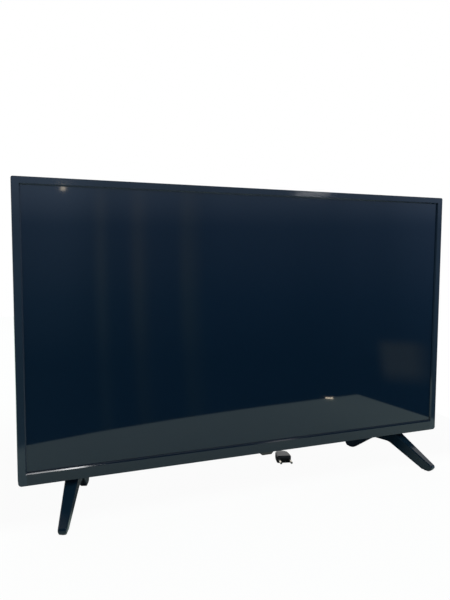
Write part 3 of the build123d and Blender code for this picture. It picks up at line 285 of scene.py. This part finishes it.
# The mains lead is a 1.5 m round lead of black vinyl, new and still in its factory coil. It
# drops from the gland behind the set, is wound in two flat layers, and runs to its plug.
lead_diameter = 0.006
coil_x, coil_y = 0.140, 0.191
coil_reach = 0.0416
coil_step = 0.00335
coil_floor, coil_upper = 0.0045, 0.0111
steps_in, steps_out = 8, 6
points_per_half = 6
reaches = [coil_reach - step * coil_step for step in range(steps_in)]
reaches += [reaches[-1] + (step + 2) * coil_step for step in range(steps_out)]
heights = [coil_floor if step < steps_in - 1 else coil_upper for step in range(len(reaches))]
half_step = math.pi / points_per_half / 2
route = [(0.185, 0.068, 0.078), (0.185, 0.091, 0.078), (0.187, 0.113, 0.064), (0.189, 0.125, 0.038),
         (0.187, 0.141, 0.016), (0.182, 0.162, coil_floor), (0.1816, 0.185, coil_floor)]
for step in range(len(reaches) - 1):
    side = 1 if step % 2 == 0 else -1
    middle = coil_x + side * (reaches[step] - reaches[step + 1]) / 2
    radius = (reaches[step] + reaches[step + 1]) / 2 / math.cos(half_step)
    for point in range(points_per_half):
        angle = (2 * point + 1) * half_step
        share = (1 - math.cos(angle)) / 2
        route.append((middle + side * radius * math.cos(angle), coil_y + side * radius * math.sin(angle),
                      heights[step] * (1 - share) + heights[step + 1] * share))
route += [(0.0984, 0.185, coil_upper), (0.098, 0.166, coil_upper), (0.103, 0.144, 0.0086),
          (0.11093, 0.11938, 0.00705), (0.10472, 0.09619, 0.00705)]
lead_curve = bpy.data.curves.new("mains_lead", "CURVE")
lead_curve.dimensions = "3D"
lead_curve.bevel_depth = lead_diameter / 2
lead_curve.bevel_resolution = 4
lead_curve.resolution_u = 4
lead_curve.use_fill_caps = True
line = lead_curve.splines.new("NURBS")
line.points.add(len(route) - 1)
for point, place in zip(line.points, route):
    point.co = (*place, 1)
line.order_u = 3
line.use_endpoint_u = True
mains_lead = bpy.data.objects.new("mains_lead", lead_curve)
bpy.context.collection.objects.link(mains_lead)
vinyl = Finish("lead_black")
vinyl.surface({
    "Base Color": vinyl.mixed(vinyl.noise(60), (0.012, 0.013, 0.015), (0.022, 0.023, 0.026)),
    "Roughness": vinyl.noise(400) * 0.12 + 0.36,
    "Normal": vinyl.relief(vinyl.noise(1800), 0.00003),
})
mains_lead.data.materials.append(vinyl.owner)


def dress(finish, *names):
    """Gives CAD nodes a finish, in the slots that they have."""
    for name in names:
        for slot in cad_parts[name].material_slots:
            slot.material = finish.owner


# The plug is a flat two-pin one, moulded in one piece on the lead, in soft black vinyl: a
# rounded body drawn in at the waist, finger ribs on both flats, and a ribbed sleeve.
def turned(name, start, axis, profile, sides=32):
    """A turned piece: a disc pushed along an axis through pairs of distance and radius."""
    turn = {"X": (0, math.pi / 2, 0), "Y": (-math.pi / 2, 0, 0), "Z": (0, 0, 0)}[axis]
    axis_at = "XYZ".index(axis)
    bpy.ops.object.select_all(action="DESELECT")
    along, radius = profile[0]
    middle = list(start)
    middle[axis_at] += along
    bpy.ops.mesh.primitive_circle_add(vertices=sides, radius=radius, fill_type="NGON",
                                      location=middle, rotation=turn)
    piece = bpy.context.object
    piece.name = name
    bpy.ops.object.transform_apply(location=True, rotation=True, scale=True)
    bpy.ops.object.mode_set(mode="EDIT")
    bpy.ops.mesh.select_all(action="SELECT")
    for next_along, next_radius in profile[1:]:
        push = [0, 0, 0]
        push[axis_at] = next_along - along
        middle[axis_at] += push[axis_at]
        bpy.ops.mesh.extrude_region_move(TRANSFORM_OT_translate={"value": push})
        if next_radius != radius:
            grow = [next_radius / radius] * 3
            grow[axis_at] = 1
            bpy.ops.transform.resize(value=grow, center_override=middle)
        along, radius = next_along, next_radius
    bpy.ops.mesh.select_all(action="SELECT")
    bpy.ops.mesh.normals_make_consistent(inside=False)
    bpy.ops.object.mode_set(mode="OBJECT")
    bpy.ops.object.shade_smooth_by_angle(angle=math.radians(35))
    return piece


def sleeve_profile(length, root, tip, ribs):
    """A tapered sleeve with ribs, as pairs of distance and radius."""
    pitch = length / ribs
    rib_end, groove_start, groove_end = pitch * 0.62, pitch * 0.66, pitch * 0.96
    groove_share = 0.84
    profile = []
    for rib in range(ribs):
        start = rib * pitch
        radius = root + (tip - root) * rib / (ribs - 1)
        profile += [(start, radius), (start + rib_end, radius),
                    (start + groove_start, radius * groove_share),
                    (start + groove_end, radius * groove_share)]
    return profile + [(length, tip * groove_share)]


def add_modifier(piece, kind, **settings):
    """Adds one modifier and applies it."""
    bpy.ops.object.select_all(action="DESELECT")
    piece.select_set(True)
    bpy.context.view_layer.objects.active = piece
    modifier = piece.modifiers.new(kind.lower(), kind)
    for key, value in settings.items():
        setattr(modifier, key, value)
    bpy.ops.object.modifier_apply(modifier=modifier.name)


def join(name, *parts):
    """Makes one piece of several."""
    bpy.ops.object.select_all(action="DESELECT")
    for part in parts:
        part.select_set(True)
    bpy.context.view_layer.objects.active = parts[0]
    bpy.ops.object.join()
    parts[0].name = name
    return parts[0]


plug_place = (0.091, 0.045, 0.00705)
plug_turn = math.radians(15)
plug_width, plug_height = 0.026, 0.0137
plug_reach = 0.053
plug_stages = [(0.004, 1.0), (0.001, 0.93), (0.0018, 0.93), (0.001, 0.99), (0.0022, 0.99), (0.001, 0.91),
               (0.0018, 0.91), (0.001, 0.96), (0.0022, 0.96), (0.001, 0.88), (0.0018, 0.88),
               (0.001, 0.92), (0.004, 0.88), (0.0062, 0.66), (0.004, 0.48)]
bpy.ops.object.select_all(action="DESELECT")
bpy.ops.mesh.primitive_plane_add(size=1, rotation=(math.pi / 2, 0, 0))
plug_body = bpy.context.object
plug_body.scale = (plug_width, plug_height, 1)
bpy.ops.object.transform_apply(location=True, rotation=True, scale=True)
bpy.ops.object.mode_set(mode="EDIT")
bpy.ops.mesh.select_all(action="SELECT")
back = 0
width_share = 1.0
for length, share in plug_stages:
    back += length
    bpy.ops.mesh.extrude_region_move(TRANSFORM_OT_translate={"value": (0, length, 0)})
    grow = share / width_share
    bpy.ops.transform.resize(value=(grow, 1, grow ** 0.5), center_override=(0, back, 0))
    width_share = share
bpy.ops.mesh.select_all(action="SELECT")
bpy.ops.mesh.normals_make_consistent(inside=False)
bpy.ops.object.mode_set(mode="OBJECT")
add_modifier(plug_body, "BEVEL", width=0.0022, segments=4, limit_method="ANGLE",
             angle_limit=math.radians(50))
bpy.ops.object.shade_smooth_by_angle(angle=math.radians(40))
sleeve_overlap = 0.001
sleeve_length = plug_reach - back + sleeve_overlap
plug_sleeve = turned("plug_sleeve", (0, back - sleeve_overlap, 0), "Y",
                     sleeve_profile(sleeve_length, root=0.0048, tip=0.0041, ribs=6), sides=24)
plug_vinyl = Finish("plug_black")
plug_vinyl.surface({
    "Base Color": plug_vinyl.mixed(plug_vinyl.noise(150), (0.012, 0.013, 0.015), (0.020, 0.021, 0.024)),
    "Roughness": plug_vinyl.noise(300) * 0.15 + 0.30,
    "Normal": plug_vinyl.relief(plug_vinyl.noise(2500), 0.00004),
})
plug = join("mains_plug", plug_body, plug_sleeve)
plug.rotation_euler.z = -plug_turn
plug.location = plug_place
bpy.ops.object.transform_apply(location=True, rotation=True, scale=True)
plug.data.materials.clear()
plug.data.materials.append(plug_vinyl.owner)
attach(plug, "set")
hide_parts("plug_body")

# The two round pins are nickelled brass. The half nearest the plug wears a black sleeve, so
# that no live metal shows while the plug is pulled.
pin = Finish("pin_brass")
pin_x, pin_y, _ = pin.place()
pin_sleeve_length = 0.0095
ahead = (plug_place[0] - pin_x) * math.sin(plug_turn) + (plug_place[1] - pin_y) * math.cos(plug_turn)
bare = ahead > pin_sleeve_length
pin.surface({
    "Base Color": pin.mixed(bare, (0.014, 0.014, 0.016), (0.80, 0.76, 0.66)),
    "Metallic": bare,
    "Roughness": pin.noise(900, 3, (1, 0.1, 1)) * 0.2 + 0.22 + (1 - bare) * 0.15,
    "Normal": pin.relief(bare, 0.0002),
})
dress(pin, "plug_pins")

# The strain relief is a vinyl gland moulded on the lead: a collar that snaps in the cover
# and a ribbed, tapered sleeve that keeps the lead from bending sharply.
gland_low, gland_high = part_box("strain_relief")
gland_x, gland_z = (gland_low.x + gland_high.x) / 2, (gland_low.z + gland_high.z) / 2
cover_back_y = 0.044
collar_thickness = 0.0025
gland = turned("lead_gland", (gland_x, cover_back_y, gland_z), "Y", [
    (-0.0045, 0.0060), (-0.0045, 0.0075), (-0.0025, 0.0075), (-0.0025, 0.0060), (0, 0.0060),
    (0, 0.0080), (0.0005, 0.0085), (collar_thickness - 0.0005, 0.0085), (collar_thickness, 0.0080),
] + [(collar_thickness + along, radius)
     for along, radius in sleeve_profile(length=0.0215, root=0.0055, tip=0.0042, ribs=7)])
gland.data.materials.append(plug_vinyl.owner)
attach(gland, "set")
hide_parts("strain_relief")

# The tie is a flat black strap round all the turns, of the soft woven kind with fine ribs,
# closed on itself. With it and the plug in place, the lead is whole.
tie = Finish("tie_black")
tie_x, _, _ = tie.place()
ribs_per_metre = 900
strap_ribs = (tie_x * ribs_per_metre) % 1.0
tie.surface({
    "Base Color": tie.mixed(tie.noise(700), (0.010, 0.010, 0.011), (0.028, 0.028, 0.030)),
    "Roughness": 0.75,
    "Sheen Weight": 0.3,
    "Normal": tie.relief(strap_ribs, 0.0002, 0.5),
})
dress(tie, "coil_tie")
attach(mains_lead, "set")
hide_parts("lead_first_stretch", "lead_coil", "lead_last_stretch")


# The screen is a liquid crystal cell behind a polariser with a smooth hard coat. Dead, it
# is a deep blue-black mirror, very slightly uneven from its bonded films.
glass = Finish("screen_glass")
glass.surface({
    "Base Color": glass.mixed(glass.noise(3), (0.0018, 0.0092, 0.0218), (0.0030, 0.0112, 0.0252)),
    "Roughness": glass.noise(1200) * 0.02 + 0.03,
    "IOR": 1.5,
})
dress(glass, "lcd_cell")

# The bezel is one gloss black moulding, polished in the mould, with faint waves and hair
# scratches. Its uprights are painted a touch paler, most low down, as a painted reflection.
# Its sloped edge is satin at the top and left, with a paler painted sheen there, and dull
# below, next to the screen.
gloss = Finish("bezel_gloss_black")
hairs = gloss.noise(900, 3, (0.02, 1, 1)) * gloss.noise(35)
gloss_x, gloss_y, gloss_z = gloss.place()
slope_front_y, slope_middle_y, slope_back_y = -0.0327, -0.0318, -0.0302
low_slope_top_z = 0.08
right_slope_x, slope_end_x = 0.34, 0.355
upright_x = 0.3525
upright_fade_z, upright_fade_height = 0.3625, 0.125
slope = (gloss_y > slope_front_y) * (gloss_y < slope_back_y)
# On the sloped edge at the top and left the colour is painted paler, a painted sheen; the added roughness
# there is the real satin.
satin_and_painted_sheen = slope * (gloss_z > low_slope_top_z) * (gloss_x < right_slope_x) * (abs(gloss_x) < slope_end_x)
dull_lip = slope * (gloss_y > slope_middle_y) * (gloss_z < low_slope_top_z)
polish_and_painted_reflection = gloss.mixed(gloss.noise(5), (0.0036, 0.0100, 0.0205), (0.0048, 0.0125, 0.0245))
# The uprights are painted paler, most low down, as a painted reflection.
upright_painted_reflection = gloss.ramp((gloss_z - upright_fade_z) * (1 / upright_fade_height), [
    (0, (0.0115, 0.0230, 0.0375)),
    (1, (0.005, 0.012, 0.023)),
])
polish_and_painted_reflection = gloss.mixed(abs(gloss_x) > upright_x, polish_and_painted_reflection, upright_painted_reflection)
gloss.surface({
    "Base Color": gloss.mixed(satin_and_painted_sheen, polish_and_painted_reflection, (0.016, 0.026, 0.042)),
    "Roughness": hairs * 0.10 + 0.06 + satin_and_painted_sheen * 0.3 + dull_lip * 0.5,
    "Normal": gloss.relief(gloss.noise(25), 0.00015, 0.3),
})
dress(gloss, "front_bezel")

# The rear cover is one big moulding of black styrene with a spark-eroded grain. Its broad
# faces are a touch shinier where hands and the packing have rubbed them.
cover = Finish("cover_textured_black")
grain = cover.noise(2600, 2) + cover.cells(1500) * 0.5
rubbed = cover.noise(4, 3)
cover.surface({
    "Base Color": cover.mixed(rubbed, (0.016, 0.017, 0.018), (0.024, 0.025, 0.027)),
    "Roughness": 0.62 - rubbed * 0.16,
    "Normal": cover.relief(grain, 0.00008, 0.8),
})
dress(cover, "rear_cover", "power_button")

# The receiver window is a lens of smoked acrylic, clear enough for the infrared only, let
# into the lower edge a little right of the middle.
smoke = Finish("smoked_window")
smoke.surface({
    "Base Color": smoke.mixed(smoke.noise(80), (0.012, 0.008, 0.010), (0.020, 0.014, 0.016)),
    "Roughness": smoke.noise(500) * 0.05 + 0.05,
    "Coat Weight": 0.5,
    "Coat Roughness": 0.02,
})
dress(smoke, "receiver_window")

# The feet are gloss black mouldings of a filled plastic, each held by two screws from
# below. Their polish is a little waved, and dulled at the toes.
foot = Finish("foot_gloss_black")
_, _, foot_z = foot.place()
toe_height = 0.02
toe_wear = foot.noise(140, 3) * (foot_z < toe_height)
foot.surface({
    "Base Color": foot.mixed(foot.noise(20), (0.0028, 0.0115, 0.0220), (0.0038, 0.0135, 0.0250)),
    "Roughness": foot.noise(60) * 0.08 + 0.10 + toe_wear * 0.2,
    "Specular IOR Level": 0.35,
    "Normal": foot.relief(foot.noise(45), 0.0002, 0.35),
})
dress(foot, "foot_left", "foot_right")

# The pads are soft grey rubber, punched from sheet and let into the toes with glue. They
# are dull, with the dust of the table on them.
rubber = Finish("pad_rubber")
rubber.surface({
    "Base Color": rubber.mixed(rubber.noise(300), (0.022, 0.022, 0.023), (0.040, 0.039, 0.038)),
    "Roughness": rubber.noise(900) * 0.1 + 0.8,
    "Normal": rubber.relief(rubber.noise(1500), 0.0001),
})
dress(rubber, "foot_pads")


# The screws of the cover and of the feet are black oxide steel, pan headed, with a cross
# recess. They are turned as blanks and the recess is struck in the head.
def screw(name, head_place, axis, way, head_radius, head_height, shank_radius, shank_length, recess):
    """A screw whose head begins at head_place and stands out along the way of the axis."""
    blank = turned(name, head_place, axis, [
        (-way * shank_length, shank_radius * 0.6), (-way * (shank_length - shank_radius), shank_radius),
        (0, shank_radius), (0, head_radius * 0.97), (way * head_height * 0.45, head_radius),
        (way * head_height * 0.8, head_radius * 0.93), (way * head_height, head_radius * 0.75),
    ], 24)
    axis_at = "XYZ".index(axis)
    slot_width, slot_depth = recess * 0.26, head_height * 1.3
    middle = list(head_place)
    middle[axis_at] += way * head_height
    for turn in (0, 1):
        sizes = [slot_width] * 3
        sizes[axis_at] = slot_depth
        across = [at for at in range(3) if at != axis_at][turn]
        sizes[across] = recess
        bpy.ops.object.select_all(action="DESELECT")
        bpy.ops.mesh.primitive_cube_add(size=1, location=middle)
        cutter = bpy.context.object
        cutter.scale = sizes
        bpy.ops.object.transform_apply(location=True, rotation=True, scale=True)
        add_modifier(blank, "BOOLEAN", operation="DIFFERENCE", object=cutter, solver="EXACT")
        bpy.data.objects.remove(cutter)
    return blank


def copies(model, name, steps):
    """One piece of a model and its copies, each moved by a step from the model's place."""
    made = [model]
    for step in steps:
        bpy.ops.object.select_all(action="DESELECT")
        copy = model.copy()
        copy.data = model.data.copy()
        bpy.context.collection.objects.link(copy)
        copy.select_set(True)
        bpy.context.view_layer.objects.active = copy
        copy.location = step
        bpy.ops.object.transform_apply(location=True, rotation=True, scale=True)
        made.append(copy)
    return join(name, *made)


oxide = Finish("black_steel")
oxide.surface({
    "Base Color": oxide.mixed(oxide.noise(700, 3), (0.03, 0.03, 0.032), (0.075, 0.074, 0.076)),
    "Metallic": 0.9,
    "Roughness": oxide.noise(500) * 0.2 + 0.32,
})
head_y = -0.002
cover_columns = (0.335, 0.110)
cover_rises = (0.091, 0.205, 0.345, 0.450)
cover_places = [(side * column, rise) for side in (-1, 1) for column in cover_columns
                for rise in cover_rises if column == cover_columns[0] or rise == cover_rises[-1]]
first_x, first_z = cover_places[0]
cover_screw = screw("cover_screw", (first_x, head_y, first_z), "Y", 1, head_radius=0.003,
                    head_height=0.0016, shank_radius=0.0015, shank_length=0.0045, recess=0.0034)
cover_screws = copies(cover_screw, "pan_head_screws",
                      [(x - first_x, 0, z - first_z) for x, z in cover_places[1:]])
foot_turn = math.radians(18)
foot_x = 0.284
foot_places = [(side * (foot_x + along * math.sin(foot_turn)), -along * math.cos(foot_turn))
               for side in (-1, 1) for along in (0.011, -0.028)]
seat_z = 0.047
foot_screw = screw("foot_screw", (*foot_places[0], seat_z), "Z", -1, head_radius=0.0038,
                   head_height=0.0026, shank_radius=0.00195, shank_length=0.0140, recess=0.0044)
foot_screws = copies(foot_screw, "foot_pan_head_screws",
                     [(x - foot_places[0][0], y - foot_places[0][1], 0) for x, y in foot_places[1:]])
for piece, node in ((cover_screws, "cover_screws"), (foot_screws, "foot_screws")):
    piece.data.materials.append(oxide.owner)
    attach(piece, "set")
    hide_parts(node)

# The standoffs of the wall mount and of the board are turned from steel bar and zinc plated,
# pale with a faint yellow and blue cast. The screws of the board are plated alike.
zinc = Finish("zinc_steel")
zinc.surface({
    "Base Color": zinc.mixed(zinc.noise(150, 3), (0.58, 0.57, 0.52), (0.66, 0.67, 0.69)),
    "Metallic": 1.0,
    "Roughness": zinc.noise(900, 2, (1, 0.05, 1)) * 0.15 + 0.25,
})
dress(zinc, "wall_mount_standoffs", "board_standoffs", "board_screws")

# The inner black parts are plain mouldings, bare from the mould: the middle frame, the
# speaker boxes, the port plate with its black sockets, and the plunger of the button.
plain = Finish("inner_black_plastic")
plain.surface({
    "Base Color": plain.mixed(plain.noise(40), (0.020, 0.020, 0.021), (0.030, 0.030, 0.031)),
    "Roughness": plain.noise(700) * 0.15 + 0.45,
    "Normal": plain.relief(plain.noise(1800), 0.00005),
})
dress(plain, "mid_frame", "optical_socket", "headphone_socket", "port_plate", "speaker_box_left",
      "speaker_box_right", "switch_plunger")

# The picture and data sockets are folded tinned sheet round a plastic tongue that carries
# the contacts; the aerial socket is a threaded nickelled barrel.
tin = Finish("socket_metal")
tin_x, _, tin_z = tin.place()
barrel_top_z, barrel_foot_x = 0.131, -0.2152
threads_per_metre = 1260
barrel = (tin_z < barrel_top_z) * (tin_x < barrel_foot_x)
thread = abs((tin_x * threads_per_metre) % 1.0 - 0.5) * barrel
tin.surface({
    "Base Color": tin.mixed(tin.noise(300, 3), (0.62, 0.62, 0.60), (0.74, 0.74, 0.73)),
    "Metallic": 1.0,
    "Roughness": tin.noise(1200, 2, (0.1, 1, 1)) * 0.2 + 0.22,
    "Normal": tin.relief(thread, 0.0004),
})
dress(tin, "picture_sockets", "data_socket", "aerial_socket")

# The three jacks have a nickelled collar round a coloured ring: yellow for the picture and
# white and red for the two sound channels.
jack_low, jack_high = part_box("audio_video_jacks")
jack_y = (jack_low.y + jack_high.y) / 2
jack_face_x = jack_low.x
collar_radius, ring_radius, bore_radius, closing_radius = 0.0041, 0.0034, 0.0016, 0.0008
well_depth, ring_depth = 0.0080, 0.0079
housing_x, housing_end_x = -0.211, -0.199
housing_width, housing_height = 0.012, 0.010
collar_metal = Finish("jack_collar_nickel")
collar_metal.surface({
    "Base Color": collar_metal.mixed(collar_metal.noise(500), (0.68, 0.67, 0.63), (0.78, 0.77, 0.74)),
    "Metallic": 1.0,
    "Roughness": collar_metal.noise(900) * 0.12 + 0.2,
})
for name, rise, colour in (("picture_jack", 0.159, (0.80, 0.58, 0.02)),
                           ("left_sound_jack", 0.147, (0.80, 0.80, 0.78)),
                           ("right_sound_jack", 0.135, (0.55, 0.012, 0.012))):
    start = (jack_face_x, jack_y, rise)
    collar = turned(name, start, "X", [
        (housing_x - jack_face_x, closing_radius), (housing_x - jack_face_x, collar_radius),
        (0.0003, collar_radius), (0, collar_radius - 0.0002), (0, ring_radius),
        (well_depth, ring_radius), (well_depth, closing_radius),
    ])
    collar.data.materials.append(collar_metal.owner)
    ring = turned(name + "_ring", start, "X", [
        (ring_depth, bore_radius), (ring_depth, ring_radius), (0.0006, ring_radius),
        (0.0002, ring_radius - 0.0003), (0.0002, bore_radius + 0.0003), (0.0005, bore_radius),
        (ring_depth, bore_radius),
    ])
    coloured = Finish(name + "_plastic")
    coloured.surface({
        "Base Color": coloured.mixed(coloured.noise(400), colour, tuple(part * 0.85 for part in colour)),
        "Roughness": coloured.noise(900) * 0.1 + 0.3,
    })
    ring.data.materials.append(coloured.owner)
    bpy.ops.object.select_all(action="DESELECT")
    bpy.ops.mesh.primitive_cube_add(size=1, location=((housing_x + housing_end_x) / 2, jack_y, rise))
    housing = bpy.context.object
    housing.scale = (housing_end_x - housing_x, housing_width, housing_height)
    bpy.ops.object.transform_apply(location=True, rotation=True, scale=True)
    add_modifier(housing, "BEVEL", width=0.0004, segments=2)
    housing.data.materials.append(coloured.owner)
    jack = join(name, collar, ring, housing)
    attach(jack, "set")
    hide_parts("audio_video_jacks")

# The backlight pan and the foot brackets are galvanised sheet, with the large flat crystals
# of the zinc showing.
galvanised = Finish("galvanised_steel")
spangle = galvanised.cells(120, output="Color")
galvanised.surface({
    "Base Color": galvanised.mixed(galvanised.noise(30), (0.50, 0.51, 0.52), (0.60, 0.61, 0.62)),
    "Metallic": 1.0,
    "Roughness": galvanised.node("ShaderNodeSeparateColor", {}, {0: spangle}) * 0.2 + 0.3,
})
dress(galvanised, "backlight_pan", "foot_brackets")

# The gasket is black foam, punched as one thin frame and stuck to the back of the bezel's lip,
# where it bears on the edge of the screen. Its pores are painted darker at their bottoms, as
# painted shade.
foam = Finish("foam")
# The pores are painted darker at their bottoms, as painted shade.
foam.surface({
    "Base Color": foam.mixed(foam.cells(1600), (0.010, 0.010, 0.010), (0.035, 0.035, 0.035)),
    "Roughness": 0.95,
    "Normal": foam.relief(foam.cells(1600), 0.0002),
})
dress(foam, "panel_gasket")

# The prism sheet is clear film, with fine upright ridges pressed in its face by a roller. It
# lies loose between the screen and the diffusers.
prism = Finish("clear_sheet")
prism_x, _, _ = prism.place()
ridges_per_metre = 2000
prism.surface({
    "Base Color": prism.mixed(prism.noise(6), (0.82, 0.84, 0.87), (0.88, 0.90, 0.92)),
    "Roughness": 0.25,
    "Normal": prism.relief(abs((prism_x * ridges_per_metre) % 1.0 - 0.5), 0.00005),
})
dress(prism, "prism_sheet")

# The diffusers, the reflector and the bare light chips are milky white: film and plate filled
# with white, laid loose in the pan, and a foamed sheet behind them.
milk = Finish("white_sheet")
milk.surface({
    "Base Color": milk.mixed(milk.noise(400, 3), (0.86, 0.87, 0.88), (0.91, 0.92, 0.92)),
    "Roughness": milk.noise(700) * 0.2 + 0.55,
})
dress(milk, "diffuser_sheet", "diffuser_plate", "reflector_sheet", "light_chips")

# The light strips are narrow aluminium boards under white lacquer, stuck to the pan. A clear
# acrylic lens dome is glued over each chip.
lacquer = Finish("light_board")
lacquer.surface({
    "Base Color": lacquer.mixed(lacquer.noise(50), (0.86, 0.86, 0.83), (0.90, 0.90, 0.88)),
    "Roughness": lacquer.noise(900) * 0.1 + 0.35,
})
dress(lacquer, "light_strips")
lens = Finish("clear_lens")
lens.surface({
    "Base Color": lens.mixed(lens.noise(200), (0.90, 0.93, 0.96), (0.95, 0.96, 0.97)),
    "Roughness": 0.05,
    "Transmission Weight": 0.9,
    "IOR": 1.49,
})
dress(lens, "light_lenses")


# The boards are glass laminate under green lacquer, or tan paper laminate for the power
# board, with copper tracks that show as paler lines.
track_width = 0.06
for name, low, high, nodes in (
    ("circuit_board", (0.010, 0.085, 0.035), (0.030, 0.16, 0.07),
     ("source_board", "main_board", "key_board")),
    ("tan_board", (0.42, 0.30, 0.14), (0.52, 0.39, 0.20), ("power_board",)),
):
    board = Finish(name)
    tracks = board.cells(260, "DISTANCE_TO_EDGE") < track_width
    board.surface({
        "Base Color": board.mixed(tracks, low, high),
        "Roughness": board.noise(300) * 0.1 + 0.35,
        "Normal": board.relief(tracks, 0.00005),
    })
    dress(board, *nodes)

# The small parts of the boards are soldered or clipped on: a ferrite transformer, moulded
# black chips and heat sinks. The flat cable and the speakers' paper cones are beside them.
for name, low, high, metallic, roughness, scale, nodes in (
    ("ferrite", (0.050, 0.048, 0.050), (0.085, 0.083, 0.086), 0.0, 0.6, 500, ("transformer",)),
    ("chip_black", (0.022, 0.022, 0.024), (0.038, 0.038, 0.040), 0.0, 0.45, 900,
     ("processor", "switch_body", "infrared_receiver")),
    ("bare_aluminium", (0.70, 0.71, 0.72), (0.80, 0.81, 0.82), 1.0, 0.32, 250, ("power_heat_sink",)),
    ("black_aluminium", (0.020, 0.020, 0.022), (0.045, 0.045, 0.048), 0.4, 0.40, 600,
     ("processor_heat_sink",)),
    ("white_cable", (0.80, 0.80, 0.79), (0.86, 0.86, 0.86), 0.0, 0.4, 90, ("flat_cable",)),
    ("cone_paper", (0.018, 0.018, 0.018), (0.040, 0.039, 0.038), 0.0, 0.9, 1100, ("speaker_cones",)),
):
    stock = Finish(name)
    stock.surface({
        "Base Color": stock.mixed(stock.noise(scale, 3), low, high),
        "Metallic": metallic,
        "Roughness": stock.noise(scale * 2) * 0.12 + roughness,
        "Normal": stock.relief(stock.noise(scale * 3), 0.00004),
    })
    dress(stock, *nodes)

# The capacitor sleeves are shrunk film, dark with a pale stripe down the minus side, and
# the free ends are bare aluminium.
film = Finish("capacitor_sleeve")
film_x, film_y, _ = film.place()
cap_low, cap_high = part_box("capacitors")
bare_end, stripe_width = 0.0008, 0.003
end = film_y > cap_high.y - bare_end
stripe = film_x < cap_low.x + stripe_width
film.surface({
    "Base Color": film.mixed(end, film.mixed(stripe, (0.012, 0.014, 0.035), (0.55, 0.56, 0.58)),
                             (0.75, 0.76, 0.78)),
    "Metallic": end,
    "Roughness": film.noise(500) * 0.1 + 0.3,
})
dress(film, "capacitors")
